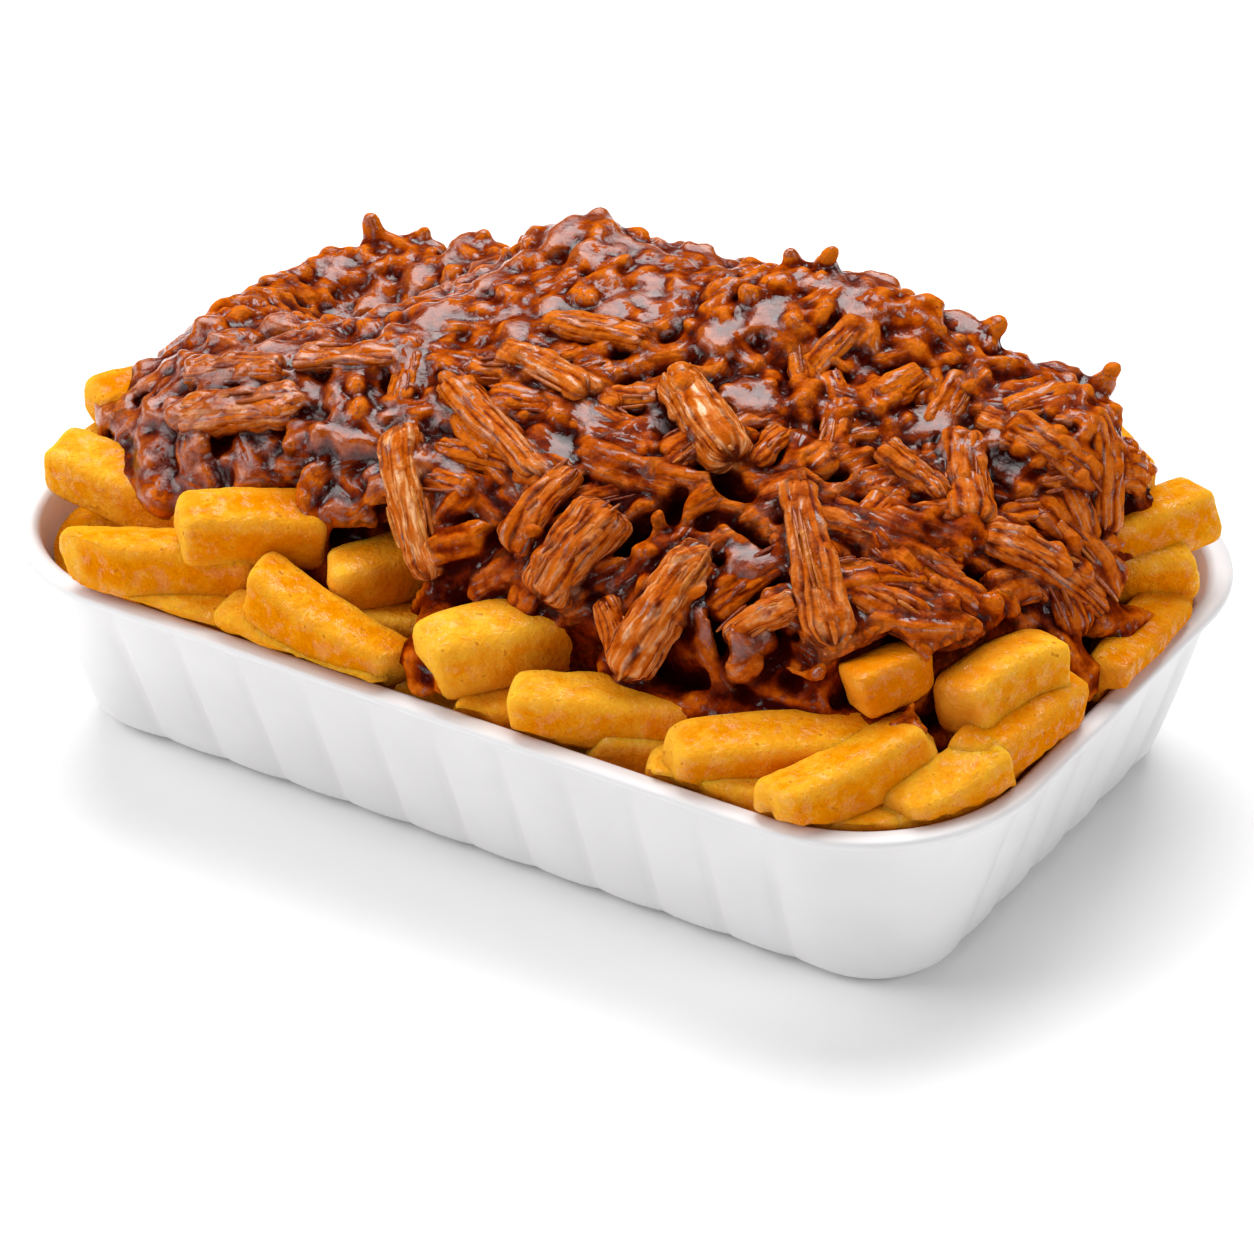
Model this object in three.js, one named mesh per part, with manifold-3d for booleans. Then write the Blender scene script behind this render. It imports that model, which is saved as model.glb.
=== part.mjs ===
// A takeaway dish of pulled pork fries: a fluted white tray, thick fries in it, and shredded pork in sauce on top.
// Millimetres, +Z up. The tray's base lies on z = 0 with its middle at the origin, and its long side is along X.
import * as THREE from "three";
import { mergeVertices } from "three/addons/utils/BufferGeometryUtils.js";
import Module from "manifold-3d";

// The tray: its outer wall leans out from the base to the rim, with a rolled lip round the top.
const TRAY_HEIGHT = 38.5;
const WALL = 2.0;
const BASE = { halfLength: 85.25, halfWidth: 48.5, corner: 14 };
const TOP = { halfLength: 97.8, halfWidth: 63.3, corner: 32 };
const LIP_OUT = 2.5;
const BASE_ROUNDING = 4.0;
const FLOOR_ROUNDING = 3.0;

// The upright flutes between the corners: how many, how far each run reaches, and how far they bulge.
const FLUTES = { long: 10, short: 5 };
const RUN_AT_BASE = { long: 64.2, short: 31.0 };
const RUN_AT_TOP = { long: 65.7, short: 31.2 };
const FLUTE_BULGE = 0.75;
const FLUTE_LEAST = 0.25;
const POINTS_PER_FLUTE = 4;
const CORNER_POINTS = 6;

// Clearances between pieces that touch.
const FOOD_TO_TRAY = 0.5;
const PORK_TO_FRIES = 0.35;
const SIMPLER_BY = 0.02;

// The heap of pork: a rounded oblong whose top falls from its crown to its edge, with a few broad lumps and dips.
const HEAP = { halfLength: 90, halfWidth: 50, middleY: 1.5, squareness: 5 };
const HEAP_TOP = 78;
const HEAP_EDGE = 48;
const HEAP_FALL = { power: 1.8, roundness: 0.52 };
const LUMP_SPREAD = 13;
const LUMPS = [
  { x: -84, y: 4, rise: 5.5 },
  { x: -64, y: 16, rise: -17 },
  { x: -44, y: 24, rise: -3.5 },
  { x: -22, y: 26, rise: 7.5 },
  { x: 0, y: 26, rise: 3 },
  { x: 22, y: 26, rise: 9.5 },
  { x: 44, y: 28, rise: 7 },
  { x: 66, y: 30, rise: 2.5 },
  { x: 84, y: 30, rise: 12.5 },
];
const PORK_UNDERSIDE = { edge: 35, middle: 44 };

// The bed of fries under the pork, and the level that its edge fills the tray to.
const BED_EDGE = 34.5;
const BED_MIDDLE = 50;

// Fries seen at the edge of the pork: middle x, y, z, then turn and tilt in degrees, then length, width, height.
const SHOWN_FRIES = [
  [-77.1, -16.1, 53.5, 45, 7, 40, 10.5, 10.5],
  [-70.4, -43.3, 47.1, -4, -3, 42, 10.5, 10.5],
  [-57.2, -57.7, 45, 27, 0, 34, 10.5, 10],
  [-22.5, -58.8, 43.5, -4, -13, 32, 10.5, 10],
  [-42.4, -50.2, 52.8, 35, -3, 26, 10.5, 10.5],
  [12.1, -45.7, 46.9, 49, 5, 40, 12.5, 12],
  [-25.8, -59.8, 37.9, -3, -4, 34, 10, 10],
  [-16.2, -36.6, 48.1, 57, 4, 34, 10, 10],
  [-42.6, -57.7, 37.1, 9, -3, 36, 10, 9.5],
  [34.1, -51.9, 42, 25, 0, 40, 10.5, 10],
  [63.7, -48.7, 42.9, 33, 2, 42, 10.5, 10],
  [75.2, -51.4, 43, 62, 11, 31, 10.5, 10],
  [87.8, -22, 50, 75, 0, 24, 10.5, 10],
  [74.1, -36.8, 54, 64, 5, 14, 8.4, 8.2],
  [89.2, -41.6, 40, 65, 14, 22, 10.5, 10],
  [92.1, -23.4, 43, 85, 0, 30, 10.5, 10],
  [84.8, 27, 52, 64, 0, 36, 10.5, 10],
  [82.8, 21.5, 47, 47, -4, 34, 10.5, 10],
  [94.5, 13.3, 39.6, 98, -3, 30, 10, 10],
  [63.9, 57.5, 47, -33, -4, 30, 10, 10],
  [86.9, -38.3, 36.1, 83, 5, 28, 10, 9.5],
  [82.8, -47.6, 35, 69, 0, 28, 10, 9.5],
  [18.6, -51.5, 36, 28, 0, 34, 10, 9.5],
  [58.1, -55.7, 36, 9, 0, 34, 10, 9.5],
  [45.9, -47.8, 36, 24, 0, 36, 10, 9.5],
  [-85, -24, 44, 80, 0, 34, 10.5, 10.5],
  [60, 50, 40, -20, 0, 34, 10.5, 10],
  [-20, -50, 38.5, 28, 0, 34, 10, 10],
  [-83, 45, 44, 50, 2, 32, 10.5, 10],
  [-78, 50, 37.5, 30, 0, 32, 10, 9.5],
];

// Fries of that list that lie on the heap's edge, with the pork cut back from them and from the room over
// them: the number from 0, and how far along it, from -1 to 1, the fry stays clear.
const CLEAR_FRIES = [
  [4, 0.5],
  [7, -0.1],
  [12, 1.2],
  [13, 0.6],
];
const CLEAR_FROM = -1.2;
const CLEAR_OVER = new THREE.Vector3(3.1, -5.1, 8.7);

// A fry that stands in the heap, out of sight, and holds the smallest of them, row 13.
const STANDING_FRY = [76, -35.5, 43.5, 62, 72, 21, 7, 7];

// Fries at the back and the left, and a lower layer all round, are laid by a rule round two ovals.
const BACK_FRIES = { count: 14, from: 25, to: 212, halfLength: 87, halfWidth: 53, z: 41 };
const LOWER_FRIES = { count: 8, from: 20, to: 220, halfLength: 84, halfWidth: 52, z: 36.5 };

// Bundles of meat fibres that show on the heap: from x, y to x, y in plan, then width.
const SHOWN_SHREDS = [
  [15, -7, 35, -20, 9.5],
  [-21, -22, 5, -33, 6.5],
  [-24, -32, -8, -48, 7],
  [39, -35, 33, -52, 9],
  [20, -34, 14, -47, 9.5],
  [45, -18, 66, -41, 7],
  [48, -45, 58, -37, 5.5],
  [73, -6, 90, 8, 8],
  [42, -25, 52, -2, 6.5],
  [52, -1, 66, -3, 6.5],
  [61, 11, 72, -5, 8],
  [-16, -12, 4, -16, 7],
  [-50, -25, -32, -20, 6.5],
  [-65, -39, -43, -33, 8],
  [56, -16, 74, -10, 9],
  [8, -27, 32, -27, 8],
  [-34, 20, -14, 26, 9],
  [10, -30, 6, -44, 6.5],
  [-50, -4, -30, 2, 6.5],
  [-14, -3, 6, 0, 6.5],
  [12, 7, 27, 3, 6],
  [33, 3, 48, 7, 7],
  [35, 28, 53, 26, 6.5],
  [66, 16, 83, 18, 8],
  [-69, -30, -50, -28, 7.5],
  [-41, -29, -24, -36, 6.5],
  [75, 12, 84, 32, 7.5],
  [25, -45, 36, -49, 6],
  [64, -20, 76, -14, 6.5],
  [-83, 8, -66, -1, 7],
];

// Ends of shreds that stand off the heap: foot x, y in plan, the way the tip lies from it, then width.
const TUFTS = [
  [-77, 41, -2, -1, 9, 5],
  [-72, 43, 3, 1, 6, 5],
  [-59, 44, 3, 0, 6, 5],
  [19, 26, -1, 1, 5, 4.5],
  [24, 28, 1, 0, 7, 4.5],
  [49, 33, 6, 3, 5, 5],
  [69, 38, 6, 2, 9, 5],
];

// The rest of the heap's shreds are spread over it by a seeded rule.
const SPREAD_SHREDS = { count: 16, clearance: 7, leastLength: 9, mostLength: 19, leastWidth: 5, mostWidth: 8 };
const SHRED_DEPTH = 0.7;
const SHRED_SIDES = 5;
const GOLDEN_ANGLE = Math.PI * (3 - Math.sqrt(5));

const { abs, cos, sin, min, max, sign, sqrt, PI } = Math;
const mix = (from, to, share) => from + (to - from) * share;

const wasm = await Module();
wasm.setup();

// Random numbers from 0 to 1, the same on every run.
function seededRandom(seed) {
  let state = seed;
  return () => {
    state = (Math.imul(state, 1664525) + 1013904223) >>> 0;
    return state / 2 ** 32;
  };
}

// A closed shape through rings of points, which run anticlockwise about the way that the rings follow each other.
function loft(rings) {
  const count = rings[0].length;
  const middle = (ring) => ring.reduce((sum, p) => sum.add(p), new THREE.Vector3()).divideScalar(count);
  const points = [...rings.flat(), middle(rings[0]), middle(rings.at(-1))];
  const first = points.length - 2;
  const last = points.length - 1;
  const top = (rings.length - 1) * count;
  const faces = [];
  for (let i = 0; i < count; i++) {
    const next = (i + 1) % count;
    faces.push(first, next, i, last, top + i, top + next);
    for (let low = 0; low < top; low += count) {
      const high = low + count;
      faces.push(low + i, low + next, high + next, low + i, high + next, high + i);
    }
  }
  const geometry = new THREE.BufferGeometry().setFromPoints(points);
  geometry.setIndex(faces);
  return geometry;
}

function solidFrom(geometry) {
  const merged = mergeVertices(geometry, 1e-4);
  const vertProperties = merged.attributes.position.array;
  const triVerts = new Uint32Array(merged.index.array);
  return new wasm.Manifold(new wasm.Mesh({ numProp: 3, vertProperties, triVerts }));
}

// The largest body of a solid, without needless corners: cutting leaves loose scraps, which are dropped.
function withoutScraps(solid) {
  const bodies = solid.decompose();
  const largest = bodies.reduce((best, body) => (body.volume() > best.volume() ? body : best));
  return largest.simplify(SIMPLER_BY);
}

function geometryFrom(solid) {
  const made = solid.getMesh();
  const geometry = new THREE.BufferGeometry();
  geometry.setAttribute("position", new THREE.BufferAttribute(made.vertProperties, 3));
  geometry.setIndex(new THREE.BufferAttribute(made.triVerts, 1));
  geometry.computeVertexNormals();
  return geometry;
}

// The tray wall's outline at a height, without its flutes.
function wallOutline(z, outset) {
  const share = z / TRAY_HEIGHT;
  return {
    halfLength: mix(BASE.halfLength, TOP.halfLength, share) + outset,
    halfWidth: mix(BASE.halfWidth, TOP.halfWidth, share) + outset,
    corner: mix(BASE.corner, TOP.corner, share) + outset,
  };
}

// How far the flutes bulge at a height: most at the middle of the wall, least under the lip, none on the lip.
function fluteBulge(z) {
  if (z > TRAY_HEIGHT - 3) return 0;
  return FLUTE_LEAST + FLUTE_BULGE * max(sin((PI * (z + 7)) / 43), 0);
}

// One ring round the tray. Each side has its flutes in a straight run, and each corner is one smooth panel.
function trayRing(z, outset) {
  const { halfLength, halfWidth, corner } = wallOutline(z, outset);
  const bulge = fluteBulge(z);
  const share = z / TRAY_HEIGHT;
  const ring = [];
  for (let side = 0; side < 4; side++) {
    const kind = side % 2 ? "long" : "short";
    const turn = (side * PI) / 2;
    const reach = side % 2 ? halfWidth : halfLength;
    const nextReach = side % 2 ? halfLength : halfWidth;
    const run = mix(RUN_AT_BASE[kind], RUN_AT_TOP[kind], share);
    const nextRun = mix(RUN_AT_BASE[side % 2 ? "short" : "long"], RUN_AT_TOP[side % 2 ? "short" : "long"], share);
    const pitch = (2 * run) / FLUTES[kind];
    const place = (out, along, facing, push) => {
      const x = out + cos(facing) * push;
      const y = along + sin(facing) * push;
      ring.push(new THREE.Vector3(x * cos(turn) - y * sin(turn), x * sin(turn) + y * cos(turn), z));
    };
    for (let i = 0; i < FLUTES[kind] * POINTS_PER_FLUTE; i++) {
      const flute = i / POINTS_PER_FLUTE;
      place(reach, flute * pitch - run, 0, bulge * abs(sin(PI * flute)) ** 0.6);
    }
    const stub = max(nextReach - corner - run, 0);
    const arc = (corner * PI) / 2;
    const nextStub = max(reach - corner - nextRun, 0);
    const total = stub + arc + nextStub;
    for (let i = 0; i < CORNER_POINTS; i++) {
      const walked = (i / CORNER_POINTS) * total;
      const fromEnd = min(walked, total - walked);
      const push = bulge * sin(min(fromEnd / pitch, 0.5) * PI) ** 0.6;
      const angle = min(max((walked - stub) / corner, 0), PI / 2);
      const onStub = min(walked, stub);
      const onNextStub = max(walked - stub - arc, 0);
      const out = reach - corner + corner * cos(angle) - onNextStub;
      const along = run + onStub + corner * sin(angle);
      place(out, along, angle, push);
    }
  }
  return ring;
}

// The tray's section as outset and height pairs, from the base, up the outside, over the lip and down to the floor.
function makeTray() {
  const section = [];
  for (const degrees of [0, 45, 90]) {
    const angle = (degrees * PI) / 180;
    section.push([-BASE_ROUNDING * (1 - sin(angle)), BASE_ROUNDING * (1 - cos(angle))]);
  }
  section.push([0, 18], [0, TRAY_HEIGHT - 3.2]);
  section.push([LIP_OUT, TRAY_HEIGHT - 1.9], [LIP_OUT - 0.1, TRAY_HEIGHT - 0.7], [LIP_OUT - 1, TRAY_HEIGHT]);
  section.push([-WALL + 1.2, TRAY_HEIGHT], [-WALL, TRAY_HEIGHT - 0.9]);
  section.push([-WALL, 18], [-WALL, WALL + FLOOR_ROUNDING + 1], [-WALL - FLOOR_ROUNDING, WALL]);
  return solidFrom(loft(section.map(([outset, z]) => trayRing(z, outset))));
}

// The distance from a point to a rounded rectangle: below zero inside it.
function outsideBy(x, y, { halfLength, halfWidth, corner }) {
  const overX = abs(x) - (halfLength - corner);
  const overY = abs(y) - (halfWidth - corner);
  return Math.hypot(max(overX, 0), max(overY, 0)) + min(max(overX, overY), 0) - corner;
}

// A point of the heap's plan: share 0 is its middle and 1 its edge, turned by an angle.
function heapPoint(share, angle) {
  const n = HEAP.squareness;
  const norm = (abs(cos(angle)) ** n + abs(sin(angle)) ** n) ** (1 / n);
  const x = (share * HEAP.halfLength * cos(angle)) / norm;
  const y = HEAP.middleY + (share * HEAP.halfWidth * sin(angle)) / norm;
  return new THREE.Vector2(x, y);
}

// Where a point lies between the heap's middle, 0, and its edge, 1.
function heapShare(x, y) {
  const n = HEAP.squareness;
  return (abs(x / HEAP.halfLength) ** n + abs((y - HEAP.middleY) / HEAP.halfWidth) ** n) ** (1 / n);
}

function heapHeight(x, y) {
  const share = min(heapShare(x, y), 1);
  const fall = (1 - share ** HEAP_FALL.power) ** HEAP_FALL.roundness;
  const inner = min((1 - share) / 0.12, 1);
  let z = HEAP_EDGE + (HEAP_TOP - HEAP_EDGE) * fall;
  for (const lump of LUMPS) {
    const away = (x - lump.x) ** 2 + (y - lump.y) ** 2;
    z += lump.rise * inner * Math.exp(-away / (2 * LUMP_SPREAD ** 2));
  }
  return z;
}

const HEAP_STATIONS = Array.from({ length: 32 }, (_, i) => (i * 2 * PI) / 32);

// The pork's core, from its underside on the fries to a little under its showing shreds.
function makePorkCore(grow) {
  const rings = [];
  for (const share of [0.6, 1]) {
    const z = mix(PORK_UNDERSIDE.middle, PORK_UNDERSIDE.edge, share ** 2) - grow;
    rings.push(heapRing(share, grow, () => z));
  }
  for (const share of [1, 0.95, 0.82, 0.62, 0.32]) {
    rings.push(heapRing(share, grow, (x, y) => heapHeight(x, y) + grow));
  }
  return solidFrom(loft(rings));
}

function heapRing(share, grow, height) {
  return HEAP_STATIONS.map((angle) => {
    const at = heapPoint(share, angle);
    const z = height(at.x, at.y);
    const out = 1 + grow / HEAP.halfWidth;
    return new THREE.Vector3(at.x * out, HEAP.middleY + (at.y - HEAP.middleY) * out, z);
  });
}

// A solid inside the tray's wall: each level has a height and an outset from the wall's outline.
function makeInsideTray(levels) {
  const rings = levels.map(({ z, outlineAt = z, outset }) => {
    const outline = wallOutline(outlineAt, outset);
    return HEAP_STATIONS.map((angle) => {
      const way = new THREE.Vector2(HEAP.halfLength * cos(angle), HEAP.halfWidth * sin(angle)).normalize();
      let near = 0;
      let far = 200;
      for (let step = 0; step < 40; step++) {
        const reach = (near + far) / 2;
        if (outsideBy(way.x * reach, way.y * reach, outline) < 0) near = reach;
        else far = reach;
      }
      return new THREE.Vector3(way.x * near, way.y * near, z);
    });
  });
  return loft(rings);
}

// The space that food may fill: the tray's hollow, and above the lip out to the lip's own outline.
function makeFoodSpace() {
  const inWall = -WALL - FOOD_TO_TRAY;
  return solidFrom(
    makeInsideTray([
      { z: WALL + FOOD_TO_TRAY, outset: inWall - FLOOR_ROUNDING },
      { z: WALL + FLOOR_ROUNDING + 2, outset: inWall },
      { z: TRAY_HEIGHT - 1.5, outset: inWall },
      { z: TRAY_HEIGHT + 0.4, outset: -WALL + 0.6 },
      { z: TRAY_HEIGHT + 0.45, outlineAt: TRAY_HEIGHT, outset: LIP_OUT - 0.4 },
      { z: HEAP_TOP + 30, outlineAt: TRAY_HEIGHT, outset: LIP_OUT - 0.4 },
    ]),
  );
}

// The packed fries that nobody sees: they fill the tray and rise under the pork.
function makeFriesBed() {
  const inWall = -WALL - FOOD_TO_TRAY - 0.1;
  const bed = makeInsideTray([
    { z: WALL + FOOD_TO_TRAY + 0.1, outset: inWall - FLOOR_ROUNDING },
    { z: WALL + FLOOR_ROUNDING + 2, outset: inWall },
    { z: BED_EDGE, outset: inWall },
    { z: BED_EDGE + 1, outset: inWall - 16 },
    { z: BED_MIDDLE, outset: -45 },
  ]);
  return solidFrom(bed);
}

// One fry: a bar with cut-off long edges and blunt ends.
function makeFry([x, y, z, turn, tilt, length, width, height]) {
  const cut = 0.28;
  const rings = [];
  for (const [along, size] of [[-0.5, 0.72], [-0.44, 1], [0.44, 1], [0.5, 0.72]]) {
    const corners = [[1, cut], [cut, 1], [-cut, 1], [-1, cut], [-1, -cut], [-cut, -1], [cut, -1], [1, -cut]];
    rings.push(
      corners.map(([a, b]) => new THREE.Vector3(along * length, (a * width * size) / 2, (b * height * size) / 2)),
    );
  }
  const fry = loft(rings);
  const degrees = PI / 180;
  fry.rotateY(-tilt * degrees);
  fry.rotateZ(turn * degrees);
  fry.translate(x, y, z);
  return solidFrom(fry);
}

function grownFry([x, y, z, turn, tilt, ...size], grow) {
  return [x, y, z, turn, tilt, ...size.map((side) => side + 2 * grow)];
}

// The room of a fry that stays clear, grown by a clearance and drawn out over the fry.
function makeRoom([x, y, z, turn, tilt, length, width, height], to, grow) {
  const over = ((CLEAR_FROM + to) * length) / 4;
  const rise = (tilt * PI) / 180;
  const way = (turn * PI) / 180;
  const middle = [x + over * cos(rise) * cos(way), y + over * cos(rise) * sin(way), z + over * sin(rise)];
  const room = makeFry(grownFry([...middle, turn, tilt, ((to - CLEAR_FROM) * length) / 2, width, height], grow));
  return wasm.Manifold.hull([room, room.translate(CLEAR_OVER.toArray())]);
}

// Fries laid round an oval, each turned across it by a random amount.
function layFries({ count, from, to, halfLength, halfWidth, z }, random) {
  const laid = [];
  for (let i = 0; i < count; i++) {
    const angle = (mix(from, to, i / (count - 1)) * PI) / 180;
    const x = halfLength * cos(angle);
    const y = HEAP.middleY + halfWidth * sin(angle);
    const along = (Math.atan2(halfWidth * cos(angle), -halfLength * sin(angle)) * 180) / PI;
    const turn = along + mix(-40, 40, random());
    const tilt = mix(-8, 8, random());
    const lift = mix(-1, 1.5, random());
    laid.push([x, y, z + lift, turn, tilt, mix(32, 42, random()), mix(10, 11.5, random()), mix(9.5, 10.5, random())]);
  }
  return laid;
}

// A strip of meat through points, oval in section, with drawn-in ends.
function makeShred(points, width, grow) {
  const curve = new THREE.CatmullRomCurve3(points);
  const shares = [0, 0.22, 0.78, 1];
  const sizes = [0.5, 1, 1, 0.5];
  const rings = shares.map((share, i) => {
    const at = curve.getPoint(share);
    const ahead = curve.getTangent(share);
    const across = new THREE.Vector3(-ahead.y, ahead.x, 0);
    if (across.length() < 0.05) across.set(1, 0, 0);
    across.normalize();
    const up = new THREE.Vector3().crossVectors(ahead, across).normalize();
    at.addScaledVector(ahead, grow * sign(share - 0.5) * (i % 3 ? 0 : 1));
    const half = (width * sizes[i]) / 2 + grow;
    const ring = [];
    for (let k = 0; k < SHRED_SIDES; k++) {
      const angle = (k * 2 * PI) / SHRED_SIDES;
      const point = at.clone().addScaledVector(across, half * cos(angle));
      ring.push(point.addScaledVector(up, half * SHRED_DEPTH * sin(angle)));
    }
    return ring;
  });
  return solidFrom(loft(rings));
}

// The middle line of a shred that lies on the heap.
function shredOnHeap([fromX, fromY, toX, toY, width]) {
  const points = [0, 0.5, 1].map((share) => {
    const x = mix(fromX, toX, share);
    const y = mix(fromY, toY, share);
    return new THREE.Vector3(x, y, heapHeight(x, y) + width * 0.12);
  });
  return { points, width };
}

function tuftOnHeap([x, y, overX, overY, rise, width]) {
  const z = heapHeight(x, y);
  const foot = new THREE.Vector3(x, y, z - 4);
  const tip = new THREE.Vector3(x + overX, y + overY, z + rise);
  return { points: [foot, foot.clone().lerp(tip, 0.5), tip], width };
}

// Shreds spread over the heap along a sunflower spiral, clear of those placed above.
function spreadShreds(random) {
  const { count, clearance, leastLength, mostLength, leastWidth, mostWidth } = SPREAD_SHREDS;
  const spread = [];
  for (let i = 0; i < count; i++) {
    const at = heapPoint(0.98 * sqrt((i + 0.5) / count), i * GOLDEN_ANGLE);
    const turn = mix(0, PI, random());
    const half = mix(leastLength, mostLength, random()) / 2;
    const width = mix(leastWidth, mostWidth, random());
    const near = SHOWN_SHREDS.some(([fromX, fromY, toX, toY]) => {
      return Math.hypot((fromX + toX) / 2 - at.x, (fromY + toY) / 2 - at.y) < clearance;
    });
    if (near) continue;
    const overX = half * cos(turn);
    const overY = half * sin(turn);
    if (heapShare(at.x + overX, at.y + overY) > 1.03) continue;
    if (heapShare(at.x - overX, at.y - overY) > 1.03) continue;
    spread.push([at.x - overX, at.y - overY, at.x + overX, at.y + overY, width]);
  }
  return spread;
}

const shreds = [...SHOWN_SHREDS, ...spreadShreds(seededRandom(7))].map(shredOnHeap);
shreds.push(...TUFTS.map(tuftOnHeap));

function makePork(grow) {
  const pieces = shreds.map(({ points, width }) => makeShred(points, width, grow));
  const rooms = CLEAR_FRIES.map(([number, to]) => makeRoom(SHOWN_FRIES[number], to, PORK_TO_FRIES - grow));
  rooms.push(makeFry(grownFry(STANDING_FRY, PORK_TO_FRIES - grow)));
  return wasm.Manifold.union([makePorkCore(grow), ...pieces]).subtract(wasm.Manifold.union(rooms));
}

const foodSpace = makeFoodSpace();
const pork = withoutScraps(makePork(0).intersect(foodSpace));

const random = seededRandom(21);
const fryList = [...SHOWN_FRIES, ...layFries(BACK_FRIES, random), ...layFries(LOWER_FRIES, random)];
fryList.push(STANDING_FRY);
const friesBlock = wasm.Manifold.union([makeFriesBed(), ...fryList.map(makeFry)]);
const fries = withoutScraps(friesBlock.intersect(foodSpace).subtract(makePork(PORK_TO_FRIES)));

const whitePlastic = new THREE.MeshStandardMaterial({ color: 0xf2f0f0, roughness: 0.45, metalness: 0 });
const friedPotato = new THREE.MeshStandardMaterial({ color: 0xf2a81c, roughness: 0.5, metalness: 0 });
const saucedPork = new THREE.MeshStandardMaterial({ color: 0x7a3210, roughness: 0.3, metalness: 0 });

function namedMesh(name, solid, material) {
  const mesh = new THREE.Mesh(geometryFrom(solid), material);
  mesh.name = name;
  return mesh;
}

const dish = new THREE.Group();
dish.add(namedMesh("tray", makeTray(), whitePlastic));
dish.add(namedMesh("fries", fries, friedPotato));
dish.add(namedMesh("pulled_pork", pork, saucedPork));

export default dish;
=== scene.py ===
# %% [markdown]
# # A dish of pulled pork fries
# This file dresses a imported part: a white fluted tray, thick fries in it, and shredded pork in sauce on
# top. The part gives the real sizes and places. Here each of its three nodes gets its real surface, and
# all of it stays in the part's frame: metres, +Z up, the tray's base on the table and its long side along
# X. Shapes are worked out in millimetres, which is how a cook or a mould maker would measure them, and
# turned to metres when the mesh is made.

import math

import bpy
import numpy as np
import openvdb
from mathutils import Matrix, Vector


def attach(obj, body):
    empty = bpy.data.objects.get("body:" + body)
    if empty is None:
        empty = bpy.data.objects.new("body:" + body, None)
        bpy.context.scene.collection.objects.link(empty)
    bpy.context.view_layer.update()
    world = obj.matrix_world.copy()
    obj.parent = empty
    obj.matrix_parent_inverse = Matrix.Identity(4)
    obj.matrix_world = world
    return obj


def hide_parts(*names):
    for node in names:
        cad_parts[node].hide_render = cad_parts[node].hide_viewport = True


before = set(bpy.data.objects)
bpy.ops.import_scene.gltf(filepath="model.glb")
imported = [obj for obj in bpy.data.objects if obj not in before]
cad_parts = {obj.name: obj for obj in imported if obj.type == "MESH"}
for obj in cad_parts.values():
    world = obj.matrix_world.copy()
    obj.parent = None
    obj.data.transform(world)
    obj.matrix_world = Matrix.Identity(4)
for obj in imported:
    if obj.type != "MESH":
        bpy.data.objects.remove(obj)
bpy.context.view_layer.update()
MM = 0.001
print("nodes:", sorted(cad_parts))

# %% [markdown]
# ## Small helpers
# Food is irregular, but the render must be the same on each run. So every random draw comes from a
# generator with a fixed seed. A mesh is made from arrays of points and faces in one call.

# %% Helpers
def rng(seed):
    """A generator of random numbers that are the same on each run."""
    return np.random.default_rng(seed)


def any_phase(draw, count=None):
    """Where a wave starts: a random angle of a whole turn, or as many as asked for."""
    return draw.uniform(0, 6.28, count)


def mix(low, high, share):
    """The value that lies a share of the way from low to high."""
    return low + (high - low) * share


def make_mesh(name, points, faces):
    """An object at the origin from points in millimetres and faces as rows of point numbers."""
    mesh = bpy.data.meshes.new(name)
    rows = faces.tolist() if isinstance(faces, np.ndarray) else [list(map(int, face)) for face in faces]
    mesh.from_pydata((np.asarray(points) * MM).tolist(), [], rows)
    mesh.polygons.foreach_set("use_smooth", [True] * len(mesh.polygons))
    mesh.update()
    made = bpy.data.objects.new(name, mesh)
    bpy.context.scene.collection.objects.link(made)
    return made


def add_value(made, name, values):
    """Stores one number for each point, which a material can read by its name."""
    layer = made.data.attributes.new(name, "FLOAT", "POINT")
    layer.data.foreach_set("value", np.asarray(values, dtype=np.float32).ravel())


def keep_result(made):
    """Gives an object the mesh that its modifiers make, and takes the modifiers off."""
    result = bpy.data.meshes.new_from_object(made.evaluated_get(bpy.context.evaluated_depsgraph_get()))
    made.modifiers.clear()
    made.data = result


def ring_faces(rings, count):
    """Four-sided faces between rings of points, and a fan at each end round one more point."""
    low = np.arange(count)
    high = (low + 1) % count
    band = np.stack([low, high, high + count, low + count], 1)
    faces = np.concatenate([band + count * number for number in range(rings - 1)]).tolist()
    first = rings * count
    last = (rings - 1) * count
    faces += [[first, b, a] for a, b in zip(low, high)]
    faces += [[first + 1, last + a, last + b] for a, b in zip(low, high)]
    return faces


# %% [markdown]
# ## The camera
# The photo looks down on the front right corner of the tray. The numbers below come from fitting a camera
# to the tray's rim and base: how far round it stands, how high, how far away, and the point that it looks
# at.

# %% Camera
CAMERA_TURN = 31.57
CAMERA_RISE = 32.03
CAMERA_DISTANCE = 1044.7
LOOKS_AT = Vector((-3.64, 8.31, 14.36))
LENS_MM = 168.07

turn, rise = math.radians(CAMERA_TURN), math.radians(CAMERA_RISE)
toward_camera = Vector((math.sin(turn) * math.cos(rise), -math.cos(turn) * math.cos(rise), math.sin(rise)))
camera_data = bpy.data.cameras.new("camera")
camera_data.lens = LENS_MM
camera_data.sensor_width = 36
camera_data.clip_end = 20
camera = bpy.data.objects.new("camera", camera_data)
camera.location = (LOOKS_AT + toward_camera * CAMERA_DISTANCE) * MM
camera.rotation_euler = (-toward_camera).to_track_quat("-Z", "Y").to_euler()
bpy.context.scene.collection.objects.link(camera)
bpy.context.scene.camera = camera
print("camera at", [round(v, 3) for v in camera.location])

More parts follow.
